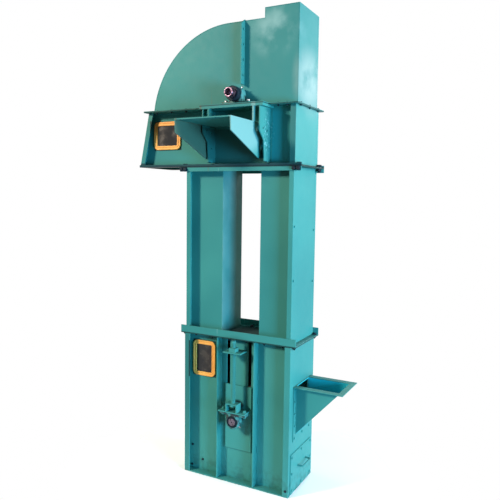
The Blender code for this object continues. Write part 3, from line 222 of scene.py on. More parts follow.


# satin enamel on bent sheet: soft dents, orange peel, drips, dirt near the floor, dark seams, grease and
# smears at the take-ups, and the boot's left lip and the hood's right-hand part darker; painted sheen on the
# hood; painted shade on upward faces (with dirt), under the flanges, round the windows, in the take-ups'
# collar boxes, on the plate between the legs, on lips, the left gusset and under the platform;
# painted light on the right gusset, the hopper's inside and the walls in the gap and beside the right cheek
def casingPaint():
    finish = Finish("casingEnamel", metallic=0.0)
    step, stainLightAndShade, near, between = finish.step, finish.stainLightAndShade, finish.near, finish.between
    blotch = finish.noise(2.2, 2.0)
    speck = finish.noise(26.0, 4.0)
    drip = finish.noise(22.0, 3.0, stretch=(1, 1, 0.10))
    cloud = finish.noise(6.0, 4.0)
    spatter = finish.noise(95.0, 2.0)
    across, deep, high = (finish.axis(finish.place, name) for name in "XYZ")
    up = finish.axis(finish.node("ShaderNodeNewGeometry", output="Normal"), "Z")
    ledgeDirtAndShade = step(up, 0.6, 0.95)
    before = 1 - step(deep, *paint["wallFront"])
    beforeHead = 1 - step(deep, *paint["headWallFront"])
    colour = finish.mix(step(blotch, 0.30, 0.72), paint["teal"], paint["deepTeal"])

    def over(amount, name):
        nonlocal colour
        colour = finish.mix(amount, colour, paint[name])

    over(step(drip, 0.60, 0.80) * 0.25, "deepTeal")
    # the hood's right-hand part a darker tone from 2.10 m up
    over(step(across, 0.012, 0.024) * step(high, 2.100, 2.108) * 0.55, "boxTeal")
    # painted sheen: a patchy pale painted reflection on the hood's right-hand front and high on its right
    # side
    over(stainLightAndShade(*paint["frontPaintedSheen"]) * step(cloud, 0.40, 0.66) * 0.60, "bloomAndPaintedLight")
    over(stainLightAndShade(*paint["sidePaintedSheen"]) * step(cloud, 0.20, 0.50) * 0.62, "paintedSheenGrey")

    # painted light on the right gusset, painted shade on the left gusset's inner face, and painted shadow on
    # the wall and cheek under the platform
    over(stainLightAndShade(*paint["gussetPaintedLight"]) * 0.42, "bloomAndPaintedLight")
    over(stainLightAndShade(*paint["gussetShadow"]) * step(across, -0.1875, -0.1865) * 0.80, "gussetShade")
    deckShadow = between(across, (-0.181, -0.177), (0.120, 0.124))
    deckShadow = deckShadow * between(high, (1.800, 1.830), (1.985, 1.993))
    over(deckShadow * beforeHead * 0.60, "grimeAndShade")

    # painted light: the boot's side wall inside the hopper painted bright cyan
    half = paint["inletHalf"]
    inside = step(across, 0.3365, 0.3375) * between(high, (0.33, 0.34), (0.6005, 0.6015))
    inside = inside * near(deep, 0.0, half + 0.0004, half + 0.0014) * step(up, -0.3, -0.1)
    over(inside * 0.9, "paintedBlueLight")

    # upward faces darker with dirt and painted shade, painted shade on the top plate between the legs, dirt
    # near the floor, and dark seams with painted shadow under the flanges
    gapPlate = stainLightAndShade(*paint["gapPlateShade"])
    over(ledgeDirtAndShade * (speck * 0.5 + 0.35), "ledgeDirtAndShade")
    over(gapPlate * 0.9, "greaseAndShade")
    over((1 - step(high + speck * 0.10, 0.05, 0.22)) * step(speck, 0.42, 0.66) * 0.5, "grimeAndShade")
    for seam, width, strength in paint["seamsAndShadows"]:
        over(near(high, seam, width * 0.6, width * 1.5) * strength, "greaseAndShade")

    # lips painted darker: the boot's left one, and as painted shade the front one over the legs and the
    # head's right one
    leftLip = (1 - step(across, -0.306, -0.298)) * (1 - step(deep, -0.166, -0.160))
    over(leftLip * (1 - step(high, 0.82, 0.83)) * 0.55, "ledgeDirtAndShade")
    baseLipShade = (1 - step(deep, -0.160, -0.156)) * between(high, (1.7805, 1.7825), (1.806, 1.810))
    over(baseLipShade * 0.88, "navy")
    headLipShade = step(across, 0.295, 0.303) * (1 - step(deep, -0.158, -0.154))
    over(headLipShade * between(high, (1.790, 1.800), (2.090, 2.096)) * 0.75, "ledgeDirtAndShade")

    # painted light: the left leg's side in the gap lighter, and the wall beside the right cheek bluer and
    # lighter
    gapFaceLight = near(across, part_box("left_leg")[1].x, 0.0015, 0.0025)
    gapFaceLight = gapFaceLight * between(high, (0.84, 0.86), (1.770, 1.780))
    over(gapFaceLight * (step(cloud, 0.30, 0.70) * 0.20 + 0.10), "bloomAndPaintedLight")
    besideCheekLight = between(across, (0.182, 0.186), (0.285, 0.300))
    besideCheekLight = besideCheekLight * between(high, (1.800, 1.815), (2.060, 2.092))
    over(besideCheekLight * beforeHead * 0.30, "paintedBlueLight")
    for side in (-1, 1):
        cheek = stainLightAndShade((0.1765, side * 0.160, 1.955), (0.05, 0.055, 0.14), 0.5)
        over(cheek * step(spatter, 0.60, 0.66) * 0.8, "chip")
        over(cheek * (1 - step(spatter, 0.34, 0.40)) * 0.7, "scuff")

    # the boot's foot, and a painted shadow line along the end of the take-up's slide
    over((1 - step(high, 0.006, 0.009)) * ledgeDirtAndShade * 0.8, "teal")
    slideLow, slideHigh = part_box("takeup_slide_front")
    slideFootShadow = near(high, slideLow.z, 0.0015, 0.0045) * near(across, 0.0, slideHigh.x, slideHigh.x + 0.003)
    over(slideFootShadow * before * 0.8, "ledgeDirtAndShade")

    # painted shade as a dark edge round each window, grease and painted shade in the take-ups' collar boxes,
    # and smears at the take-ups
    for left, right, low, top in paint["windows"]:
        side = finish.maths(across - (left + right) / 2, "ABSOLUTE") - (right - left) / 2
        end = finish.maths(high - (low + top) / 2, "ABSOLUTE") - (top - low) / 2
        ring = 1 - step(finish.maths(side, "MAXIMUM", end), 0.001, 0.006)
        over(ring * before * 0.85, "greaseAndShade")
    for side in (-1, 1):
        over(stainLightAndShade((0, side * 0.130, 0.450), (0.045, 0.030, 0.034), 0.55) * 0.94, "greaseAndShade")
        smear = stainLightAndShade((0.045, side * 0.128, 0.33), (0.055, 0.030, 0.085)) * step(speck, 0.38, 0.62)
        over(smear * 0.45, "grimeAndShade")

    finish.set(base_color=colour, roughness=speck * 0.16 + paint["roughness"] + ledgeDirtAndShade * 0.20 + gapPlate * 0.5)
    wave = finish.noise(5.5, 1.0)
    peel = finish.noise(420.0, 1.0)
    finish.bump(wave + peel * (paint["peelHeight"] / paint["waveHeight"]), paint["waveHeight"])
    finish.polish(0.11)
    return finish.material


def gasketRubber():
    finish = Finish("gasketRubber", roughness=0.55)
    grain = finish.noise(160.0, 3.0)
    smear = finish.noise(14.0, 3.0)
    colour = finish.mix(finish.step(smear, 0.35, 0.75), (0.950, 0.450, 0.095, 1), (0.780, 0.330, 0.060, 1))
    finish.set(base_color=colour, roughness=0.50 + grain * 0.15)
    finish.bump(grain, 0.0002)
    return finish.material


# the pane near-black and glossy: painted shade for the dark inside seen through the glass, with stains
def paneGlass():
    finish = Finish("paneGlass", roughness=0.1)
    stainLightAndShade = finish.noise(16.0, 4.0)
    colour = finish.mix(finish.step(stainLightAndShade, 0.42, 0.70), (0.014, 0.013, 0.014, 1), (0.045, 0.038, 0.033, 1))
    finish.set(base_color=colour, roughness=0.12 + finish.step(stainLightAndShade, 0.40, 0.75) * 0.25)
    finish.polish(0.35)
    return finish.material


# black enamel on a rough casting, with a little teal overspray
def castBlack():
    finish = Finish("bearingCasting", metallic=0.0)
    grain = finish.noise(260.0, 3.0)
    worn = finish.noise(34.0, 4.0)
    mist = finish.noise(60.0, 5.0)
    colour = finish.mix(finish.step(worn, 0.52, 0.75), (0.004, 0.012, 0.020, 1), (0.014, 0.020, 0.030, 1))
    colour = finish.mix(finish.step(mist, 0.64, 0.76) * 0.6, colour, (0.030, 0.130, 0.135, 1))
    finish.set(base_color=colour, roughness=0.44 + worn * 0.2)
    finish.bump(grain, 0.0004)
    finish.polish(0.15)
    return finish.material


# the same castings where the casing's paint has caught them
def castPainted():
    finish = Finish("paintedCasting", metallic=0.0)
    grain = finish.noise(260.0, 3.0)
    mist = finish.noise(42.0, 5.0)
    facing = finish.node("ShaderNodeNewGeometry", output="Normal")
    # the teal is stronger on faces turned towards +X and upwards
    tealShare = mist + finish.axis(facing, "X") * 0.10 + finish.axis(facing, "Z") * 0.08
    colour = finish.mix(finish.step(tealShare, 0.42, 0.62), (0.016, 0.030, 0.034, 1), (0.055, 0.235, 0.225, 1))
    finish.set(base_color=colour, roughness=0.42 + mist * 0.2)
    finish.bump(grain, 0.0006)
    finish.polish(0.3)
    return finish.material


# turned steel: fine rings round the Y axis and a brown and pink bloom
def turnedSteel():
    finish = Finish("shaftSteel", metallic=1.0)
    rings = finish.noise(900.0, 2.0, stretch=(0.02, 1, 0.02))
    bloomAndPaintedLight = finish.noise(70.0, 4.0)
    rust = finish.step(bloomAndPaintedLight, 0.40, 0.66)
    colour = finish.mix(rust, (0.200, 0.165, 0.215, 1), (0.060, 0.040, 0.055, 1))
    finish.set(base_color=colour, roughness=0.26 + rust * 0.34, metallic=1 - rust * 0.5)
    finish.bump(rings, 0.00008)
    return finish.material


# the sleeve's dark blued steel with a rosy sheen
def rosySteel():
    finish = Finish("rosySteel", metallic=1.0)
    rings = finish.noise(700.0, 2.0, stretch=(0.02, 1, 0.02))
    patch = finish.noise(110.0, 3.0)
    colour = finish.mix(finish.step(patch, 0.40, 0.60), (0.060, 0.030, 0.050, 1), (0.330, 0.215, 0.290, 1))
    finish.set(base_color=colour, roughness=0.30 + patch * 0.2)
    finish.bump(rings, 0.0001)
    return finish.material


# nuts and nipples: zinc with dull patches
def zincPlate():
    finish = Finish("zincPlate", metallic=1.0)
    patch = finish.noise(180.0, 3.0)
    dull = finish.step(patch, 0.42, 0.66)
    colour = finish.mix(dull, (0.52, 0.52, 0.53, 1), (0.26, 0.25, 0.27, 1))
    finish.set(base_color=colour, roughness=0.24 + dull * 0.25)
    finish.bump(patch, 0.0001)
    return finish.material


def drumPaint():
    finish = Finish("drumPaint", metallic=0.0)
    worn = finish.noise(20.0, 4.0)
    colour = finish.mix(finish.step(worn, 0.45, 0.70), (0.190, 0.195, 0.200, 1), (0.300, 0.290, 0.280, 1))
    finish.set(base_color=colour, roughness=0.45 + worn * 0.2)
    finish.bump(worn, 0.0003)
    return finish.material


def beltRubber():
    finish = Finish("beltRubber")
    weave = finish.noise(500.0, 2.0)
    dusty = finish.noise(12.0, 4.0)
    colour = finish.mix(finish.step(dusty, 0.40, 0.75), (0.022, 0.021, 0.020, 1), (0.090, 0.082, 0.070, 1))
    finish.set(base_color=colour, roughness=0.70 + dusty * 0.15)
    finish.bump(weave, 0.0003)
    return finish.material


# near the object a floor that takes its shadow, further out clear, so that only the pale backdrop shows
def floorPale():
    finish = Finish("floorPale", roughness=0.9)
    grain = finish.noise(3.0, 3.0)
    colour = finish.mix(grain, (0.90, 0.90, 0.90, 1), (0.94, 0.94, 0.94, 1))
    away = finish.node("ShaderNodeVectorMath", {"operation": "LENGTH"}, {0: finish.place}, output="Value")
    finish.set(base_color=colour, alpha=1 - finish.step(away, 0.35, 1.1))
    return finish.material


finishes = {
    "casing_steel": casingPaint(),
    "gasket": gasketRubber(),
    "pane": paneGlass(),
    "cast_iron": castBlack(),
    "casting": castPainted(),
    "shaft_steel": turnedSteel(),
    "rosySteel": rosySteel(),
    "zinc": zincPlate(),
    "pulley_steel": drumPaint(),
    "belt_rubber": beltRubber(),
}
slotOf = {entry["node"]: entry["material_slot"] for entry in frame["record"]["subparts"]}
for nodeName, slotName in slotOf.items():
    nodeObject = frame["nodes"][nodeName]
    if not nodeObject.material_slots:
        nodeObject.data.materials.append(None)
    for materialSlot in nodeObject.material_slots:
        materialSlot.material = finishes[slotName]
print("finishes made")

world = bpy.data.worlds.new("paleRoom")
bpy.context.scene.world = world
world.use_nodes = True
sky = world.node_tree.nodes["Background"]
rays = world.node_tree.nodes.new("ShaderNodeLightPath")
level = world.node_tree.nodes.new("ShaderNodeMapRange")
level.inputs["To Min"].default_value = 0.11
level.inputs["To Max"].default_value = 1.0
seen = rays.outputs["Is Camera Ray"]
for rayName in ("Is Transmission Ray", "Is Glossy Ray"):
    either = world.node_tree.nodes.new("ShaderNodeMath")
    either.operation = "MAXIMUM"
    world.node_tree.links.new(seen, either.inputs[0])
    world.node_tree.links.new(rays.outputs[rayName], either.inputs[1])
    seen = either.outputs[0]
world.node_tree.links.new(seen, level.inputs["Value"])
world.node_tree.links.new(level.outputs[0], sky.inputs["Strength"])
sky.inputs["Color"].default_value = (1, 1, 1, 1)

bpy.ops.object.select_all(action="DESELECT")
bpy.ops.mesh.primitive_plane_add(size=40, location=(0, 0, -0.0005))
floor = bpy.context.object
floor.name = "floor"
floor.data.materials.append(floorPale())


# small helpers for modelling
def only(piece):
    bpy.ops.object.select_all(action="DESELECT")
    piece.select_set(True)
    bpy.context.view_layer.objects.active = piece


def nothing():
    bpy.ops.object.select_all(action="DESELECT")


# the object that the last primitive made, under its own name
def taken(name):
    piece = bpy.context.object
    piece.name = name
    piece.data.name = name
    return piece


def edit(piece, kind="FACE", everything=False):
    only(piece)
    bpy.ops.object.mode_set(mode="EDIT")
    bpy.ops.mesh.select_mode(type=kind)
    bpy.ops.mesh.select_all(action="SELECT" if everything else "DESELECT")


def leave():
    bpy.ops.object.mode_set(mode="OBJECT")


# in edit mode: select the faces whose centre and normal pass a test
def pickFaces(piece, test):
    bpy.ops.mesh.select_mode(type="FACE")
    bpy.ops.mesh.select_all(action="DESELECT")
    shape = bmesh.from_edit_mesh(piece.data)
    for face in shape.faces:
        if test(face.calc_center_median(), face.normal):
            face.select_set(True)
    bmesh.update_edit_mesh(piece.data)


# in edit mode: select the edges whose two ends both pass a test
def pickEdges(piece, test):
    bpy.ops.mesh.select_mode(type="EDGE")
    bpy.ops.mesh.select_all(action="DESELECT")
    shape = bmesh.from_edit_mesh(piece.data)
    for edge in shape.edges:
        if all(test(vert.co) for vert in edge.verts):
            edge.select_set(True)
    bmesh.update_edit_mesh(piece.data)


def modify(piece, kind, **settings):
    only(piece)
    step = piece.modifiers.new(kind.lower(), kind)
    for name, value in settings.items():
        setattr(step, name, value)
    bpy.ops.object.modifier_apply(modifier=step.name)


def settle(piece, degrees=32):
    only(piece)
    bpy.ops.object.transform_apply(location=True, rotation=True, scale=True)
    bpy.ops.object.shade_smooth_by_angle(angle=math.radians(degrees))


def dress(piece, body, slotName, finishName=None, replaced=()):
    piece.data.materials.clear()
    piece.data.materials.append(finishes[finishName or slotName])
    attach(piece, body)
    if replaced:
        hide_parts(*replaced)


# where a piece modelled upright at the origin goes, with its top turned towards a direction
def upright(spot, towards=(0, 0, 1), spin=0.0):
    return (Matrix.Translation(spot) @ Vector(towards).to_track_quat("Z", "Y").to_matrix().to_4x4()
            @ Matrix.Rotation(math.radians(spin), 4, "Z"))


# a copy with its own mesh at each place, joined into one piece
def spread(name, source, places):
    row = []
    for place in places:
        copy = bpy.data.objects.new(name, source.data.copy())
        bpy.context.scene.collection.objects.link(copy)
        copy.matrix_world = place
        row.append(copy)
    nothing()
    for copy in row:
        copy.select_set(True)
    bpy.context.view_layer.objects.active = row[0]
    if len(row) > 1:
        bpy.ops.object.join()
    piece = bpy.context.object
    piece.name = name
    piece.data.name = name
    only(piece)
    bpy.ops.object.transform_apply(location=True, rotation=True, scale=True)
    return piece


# a round piece drawn out ring by ring along Z, closed by a bore or by its two ends
def turned(name, profile, sides=40, bored=True):
    radius, height = profile[0]
    nothing()
    bpy.ops.mesh.primitive_circle_add(vertices=sides, radius=radius, location=(0, 0, height))
    piece = taken(name)
    only(piece)
    bpy.ops.object.transform_apply(location=True, rotation=True, scale=True)
    edit(piece, "EDGE", everything=True)
    for nextRadius, nextHeight in profile[1:]:
        bpy.ops.mesh.extrude_edges_move(TRANSFORM_OT_translate={"value": (0, 0, nextHeight - height)})
        grow = nextRadius / radius
        bpy.ops.transform.resize(value=(grow, grow, 1), center_override=(0, 0, nextHeight))
        radius, height = nextRadius, nextHeight
    bpy.ops.mesh.select_all(action="DESELECT")
    bpy.ops.mesh.select_non_manifold()
    if bored:
        bpy.ops.mesh.bridge_edge_loops()
    else:
        bpy.ops.mesh.fill_holes(sides=0)
    bpy.ops.mesh.select_all(action="SELECT")
    bpy.ops.mesh.normals_make_consistent(inside=False)
    leave()
    settle(piece)
    return piece


def remove(*sources):
    for source in sources:
        bpy.data.objects.remove(source, do_unlink=True)


# the casing's own sheets with their cut edges broken, so that they catch light
sheets = {
    "edge": 0.0009,
    "heavyEdge": 0.0014,
    "heavy": ("bearing_seat_front", "bearing_seat_back", "drive_platform"),
    "split": ("takeup_nut_bracket_front", "takeup_nut_bracket_back", "boot_right_side"),
}


def breakEdges(nodeName):
    piece = bpy.data.objects.new(nodeName + "_sheet", frame["nodes"][nodeName].data.copy())
    bpy.context.scene.collection.objects.link(piece)
    edit(piece, "VERT", everything=True)
    bpy.ops.mesh.remove_doubles(threshold=0.00002)
    bpy.ops.mesh.dissolve_limited(angle_limit=math.radians(0.5))
    if nodeName in sheets["split"]:
        bpy.ops.mesh.select_all(action="SELECT")
        bpy.ops.mesh.vert_connect_concave()
    leave()
    bpy.ops.object.shade_smooth_by_angle(angle=math.radians(32))
    width = sheets["heavyEdge"] if nodeName in sheets["heavy"] else sheets["edge"]
    modify(piece, "BEVEL", width=width, segments=2, limit_method="ANGLE", angle_limit=math.radians(40),
           harden_normals=True)
    bodies = frame["record"]["behaviour"]["bodies"]
    body = next(name for name, members in bodies.items() if nodeName in members)
    dress(piece, body, "casing_steel", replaced=(nodeName,))


for nodeName, slotName in slotOf.items():
    if slotName == "casing_steel" and not nodeName.startswith("takeup_screw"):
        breakEdges(nodeName)
print("casing sheets done")

# bolts: across the flats, head height, washer, and below the grip the nut and the shank's end
bolts = {
    "frame": {"flats": 0.016, "head": 0.0075, "washerRadius": 0.0112, "washer": 0.002, "grip": 0.0083,
              "nut": 0.009, "shank": 0.0048, "tip": 0.006},
    "small": {"flats": 0.010, "head": 0.0045, "washerRadius": 0.0070, "washer": 0.0013, "grip": 0.0083,
              "nut": 0.005, "shank": 0.003, "tip": 0.004},
    "screw": {"flats": 0.010, "head": 0.0045, "washerRadius": 0.0072, "washer": 0.0013},
    "corner": {"flats": 0.024, "head": 0.0115, "washerRadius": 0.0160, "washer": 0.003, "grip": 0.0083,
               "nut": 0.0135, "shank": 0.0075, "tip": 0.008},
    "lip": {"flats": 0.020, "head": 0.0110, "washerRadius": 0.0126, "washer": 0.0025},
    "foot": {"flats": 0.016, "head": 0.0080, "washerRadius": 0.0120, "washer": 0.002},
}


# a hexagon head on its washer, and below the grip a nut with the shank's end
def makeBolt(name, size):
    nothing()
    headZ = size["washer"] + size["head"]
    bpy.ops.mesh.primitive_cylinder_add(vertices=6, radius=size["flats"] / math.sqrt(3), depth=size["head"],
                                        location=(0, 0, headZ - size["head"] / 2))
    piece = taken(name)
    only(piece)
    bpy.ops.object.transform_apply(location=True, rotation=True, scale=True)
    edit(piece)
    pickEdges(piece, lambda spot: spot.z > headZ - 0.0001)
    bpy.ops.mesh.bevel(offset=size["head"] * 0.18, segments=1, affect="EDGES")
    bpy.ops.mesh.primitive_cylinder_add(vertices=20, radius=size["washerRadius"], depth=size["washer"],
                                        location=(0, 0, size["washer"] / 2))
    if "nut" in size:
        nutZ = -size["grip"] - size["nut"]
        bpy.ops.mesh.primitive_cylinder_add(vertices=6, radius=size["flats"] / math.sqrt(3),
                                            depth=size["nut"], location=(0, 0, nutZ + size["nut"] / 2),
                                            rotation=(0, 0, math.radians(17)))
        pickEdges(piece, lambda spot: abs(spot.z - nutZ) < 0.0001)
        bpy.ops.mesh.bevel(offset=size["head"] * 0.18, segments=1, affect="EDGES")
        bpy.ops.mesh.primitive_cylinder_add(vertices=12, radius=size["shank"], depth=size["tip"],
                                            location=(0, 0, nutZ - size["tip"] / 2))
        pickEdges(piece, lambda spot: abs(spot.z - nutZ + size["tip"]) < 0.0001)
        bpy.ops.mesh.bevel(offset=size["shank"] * 0.25, segments=1, affect="EDGES")
    leave()
    settle(piece, 25)
    return piece


frameBolt = makeBolt("frameBolt", bolts["frame"])
smallBolt = makeBolt("smallBolt", bolts["small"])
capScrew = makeBolt("capScrew", bolts["screw"])
footBolt = makeBolt("footBolt", bolts["foot"])
cornerBolt = makeBolt("cornerBolt", bolts["corner"])
lipBolt = makeBolt("lipBolt", bolts["lip"])

# where they stand: over the lips between boot, legs and head, round the hood's foot and up its joint, on the
# hopper's flange and the boot's and leg's right side, and on the boot's front
joints = {
    "lift": 0.0043,
    "sideX": 0.3455, "bootCornerY": 0.146, "rowY": 0.1385,
    "bootRowX": (-0.275, -0.165, -0.055, 0.055, 0.165, 0.275), "headRowX": (-0.270, 0.270),
    "cornerX": 0.3510, "cornerY": 0.143, "lipX": (0.3330, 0.3570),
    "flangeY": 0.1600, "flangeRowX": (-0.535, -0.435, -0.335, -0.235, 0.235, 0.285),
    "flangeEndX": (-0.5955, 0.3445), "flangeEndY": (-0.120, 0.0, 0.120),
    "seamY": 0.1535, "seamZ": (2.262, 2.342, 2.422, 2.500),
    "inletY": 0.1050, "inletZ": (0.3145, 0.383, 0.451, 0.519, 0.583), "inletMiddle": (0.003, 0.3145),
    "footY": 0.1300, "footZ": (0.028, 0.121, 0.214), "footMiddleZ": (0.0265, 0.2155),
    "legX": 0.330, "legSpots": ((-0.142, 1.468), (-0.142, 1.183), (0.130, 1.439), (0.130, 1.150)),
    "bootFront": [(-0.238, -0.118, 0.068), (-0.309, -0.118, 0.145), (-0.312, -0.118, 0.022),
                  (0.319, -0.168, 0.036)],
    "bearingX": 0.0665, "headFootLift": 0.0168, "shelfLift": 0.0064, "shelfGrip": 0.0232,
}


# one row of bolts, each turned further about its axis than the one before
def boltRow(name, source, spots, towards, twist, slotName):
    row = spread(name, source, [upright(spot, towards, twist * index) for index, spot in enumerate(spots)])
    dress(row, "casing", slotName)


upwards, outRight, outFront = (0, 0, 1), (1, 0, 0), (0, -1, 0)
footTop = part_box("boot_top_plate")[1].z + joints["lift"]
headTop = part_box("leg_top_frame")[1].z + joints["lift"]
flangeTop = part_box("hood_flange")[1].z
bootSpots = [(side * joints["sideX"], y, footTop)
             for side in (-1, 1) for y in (-joints["bootCornerY"], joints["bootCornerY"])]
bootSpots += [(x, side * joints["rowY"], footTop) for side in (-1, 1) for x in joints["bootRowX"]]
boltRow("boot_leg_bolts", frameBolt, bootSpots, upwards, 37, "cast_iron")
legSpots = [(x, side * joints["rowY"], headTop) for side in (-1, 1) for x in joints["headRowX"]]
boltRow("leg_head_bolts", frameBolt, legSpots, upwards, 37, "cast_iron")

cornerSpots = [(side * joints["cornerX"], y, headTop)
               for side in (-1, 1) for y in (-joints["cornerY"], joints["cornerY"])]
boltRow("head_corner_bolts", cornerBolt, cornerSpots, upwards, 17, "cast_iron")
lipLow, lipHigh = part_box("leg_top_frame")
lipSpots = [(side * x, y, (lipLow.z + lipHigh.z) / 2) for y in (lipLow.y, lipHigh.y) for side in (-1, 1)
            for x in joints["lipX"]]
row = spread("head_lip_bolts", lipBolt, [upright(spot, (0, math.copysign(1, spot[1]), 0), 21 * index)
                                         for index, spot in enumerate(lipSpots)])
dress(row, "casing", "cast_iron")

flangeSpots = [(x, side * joints["flangeY"], flangeTop) for side in (-1, 1) for x in joints["flangeRowX"]]
flangeSpots += [(x, y, flangeTop) for x in joints["flangeEndX"] for y in joints["flangeEndY"]]
boltRow("hood_flange_bolts", smallBolt, flangeSpots, upwards, 23, "cast_iron")

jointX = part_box("hood_joint_flange")[1].x
seamSpots = [(jointX, side * joints["seamY"], z) for side in (-1, 1) for z in joints["seamZ"]]
boltRow("hood_seam_bolts", smallBolt, seamSpots, outRight, 31, "casing_steel")

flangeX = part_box("hopper_flange")[1].x
sideSpots = [(flangeX, side * joints["inletY"], z) for side in (-1, 1) for z in joints["inletZ"]]
sideSpots += [(flangeX, *joints["inletMiddle"])]
sideSpots += [(flangeX, side * joints["footY"], z) for side in (-1, 1) for z in joints["footZ"]]
sideSpots += [(flangeX, 0.0, z) for z in joints["footMiddleZ"]]
sideSpots += [(joints["legX"], y, z) for y, z in joints["legSpots"]]
boltRow("side_screws", capScrew, sideSpots, outRight, 29, "casing_steel")
boltRow("boot_front_screws", capScrew, joints["bootFront"], outFront, 43, "cast_iron")

# the bearings' bolts, turned by their own place
bearingLow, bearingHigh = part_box("head_bearing_back")
bearingY = (bearingLow.y + bearingHigh.y) / 2
bearingSpots = [(x, side * bearingY) for side in (-1, 1) for x in (-joints["bearingX"], joints["bearingX"])]
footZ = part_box("head_bearing_front")[0].z + joints["headFootLift"]
row = spread("head_bearing_bolts", footBolt, [upright((x, y, footZ), spin=600 * x) for x, y in bearingSpots])
dress(row, "casing", "shaft_steel", "zinc")
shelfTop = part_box("boot_bearing_front")[1].z + joints["shelfLift"]
shelfFoot = shelfTop - joints["shelfGrip"]
row = spread("boot_bearing_nuts", footBolt,
             [upright((x, y, shelfTop), spin=600 * x) for x, y in bearingSpots]
             + [upright((x, y, shelfFoot), (0, 0, -1), 250 * x) for x, y in bearingSpots])
dress(row, "takeup", "casing_steel")
remove(frameBolt, smallBolt, capScrew, footBolt, cornerBolt, lipBolt)
print("bolts done")

# pillow blocks: one casting, its insert and its grease nipple, used four times
pillow = {
    "foot": (0.164, 0.044, 0.017), "centre": 0.0537,
    "neck": 0.034, "neckDrop": 0.028, "neckStretch": (2.35, 0.95, 1.2),
    "dome": 0.0425, "depth": 0.040, "boss": 0.0385, "bossDepth": 0.047,
    "voxel": 0.0021, "bore": 0.0334, "nippleSink": 0.0015,
}


def castBlock(name, size):
    nothing()
    bpy.ops.mesh.primitive_cube_add(size=1, location=(0, 0, size["foot"][2] / 2 - size["centre"]))
    piece = taken(name)
    piece.scale = size["foot"]
    only(piece)
    bpy.ops.object.transform_apply(location=True, rotation=True, scale=True)
    edit(piece)
    neck = (0, 0, -size["neckDrop"])
    bpy.ops.mesh.primitive_cube_add(size=size["neck"], location=neck)
    bpy.ops.transform.resize(value=size["neckStretch"], center_override=neck)
    for radius, depth in ((size["dome"], size["depth"]), (size["boss"], size["bossDepth"])):
        bpy.ops.mesh.primitive_cylinder_add(vertices=48, radius=radius, depth=depth,
                                            rotation=(math.pi / 2, 0, 0))
    leave()
    modify(piece, "REMESH", mode="VOXEL", voxel_size=size["voxel"])
    modify(piece, "SMOOTH", factor=0.5, iterations=5)
    nothing()
    bpy.ops.mesh.primitive_cylinder_add(vertices=48, radius=size["bore"], depth=0.1,
                                        rotation=(math.pi / 2, 0, 0))
    cutter = taken("blockBore")
    modify(piece, "BOOLEAN", operation="DIFFERENCE", solver="EXACT", object=cutter)
    remove(cutter)
    settle(piece, 40)
    return piece


block = castBlock("pillowBlock", pillow)
insertProfile = [(0.02265, -0.0265), (0.0285, -0.0265), (0.0298, -0.0252), (0.0298, -0.0170),
                 (0.0270, -0.0160), (0.0270, -0.0150), (0.0332, -0.0140), (0.0332, 0.0140),
                 (0.0270, 0.0150), (0.0270, 0.0160), (0.0298, 0.0170), (0.0298, 0.0252),
                 (0.0285, 0.0265), (0.02265, 0.0265)]
insert = turned("bearingInsert", insertProfile, 48)
nippleProfile = [(0.0035, 0.0), (0.0046, 0.0004), (0.0046, 0.0034), (0.0032, 0.0040), (0.0030, 0.0062),
                 (0.0022, 0.0072), (0.0022, 0.0084), (0.0031, 0.0094), (0.0031, 0.0108), (0.0014, 0.0124)]
nipple = turned("greaseNipple", nippleProfile, 16, bored=False)

headZ = (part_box("head_pulley")[0].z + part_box("head_pulley")[1].z) / 2
bootZ = (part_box("boot_pulley")[0].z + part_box("boot_pulley")[1].z) / 2
stations = {"head": {"body": "casing", "height": headZ, "turn": 0, "lean": Vector((0.62, 0, 0.78))},
            "boot": {"body": "takeup", "height": bootZ, "turn": 180, "lean": Vector((0.80, 0, -0.60))}}
for station, plan in stations.items():
    for side, label in ((-1, "front"), (1, "back")):
        spot = Vector((0, side * bearingY, plan["height"]))
        casting = spread(f"{station}_block_{label}", block,
                         [Matrix.Translation(spot) @ Matrix.Rotation(math.radians(plan["turn"]), 4, "Y")])
        dress(casting, plan["body"], "cast_iron", "casting", replaced=(f"{station}_bearing_{label}",))
        ring = spread(f"{station}_insert_{label}", insert,
                      [Matrix.Translation(spot) @ Matrix.Rotation(math.pi / 2, 4, "X")])
        dress(ring, plan["body"], "cast_iron")
        crown = spot + plan["lean"] * (pillow["dome"] - pillow["nippleSink"])
        cap = spread(f"{station}_nipple_{label}", nipple, [upright(crown, plan["lean"])])
        dress(cap, plan["body"], "shaft_steel", "zinc")
remove(block, insert, nipple)
print("bearings done")

# shafts: where the head shaft ends in front and behind, and half the boot shaft's length
front, back = -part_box("head_shaft")[0].y, -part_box("head_shaft")[1].y
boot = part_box("boot_shaft")[1].y


# a turned piece on its side: its Z becomes the front, -Y
def layDown(piece, shaftZ):
    only(piece)
    piece.rotation_euler = (math.pi / 2, 0, 0)
    piece.location = (0, 0, shaftZ)
    bpy.ops.object.transform_apply(location=True, rotation=True, scale=True)


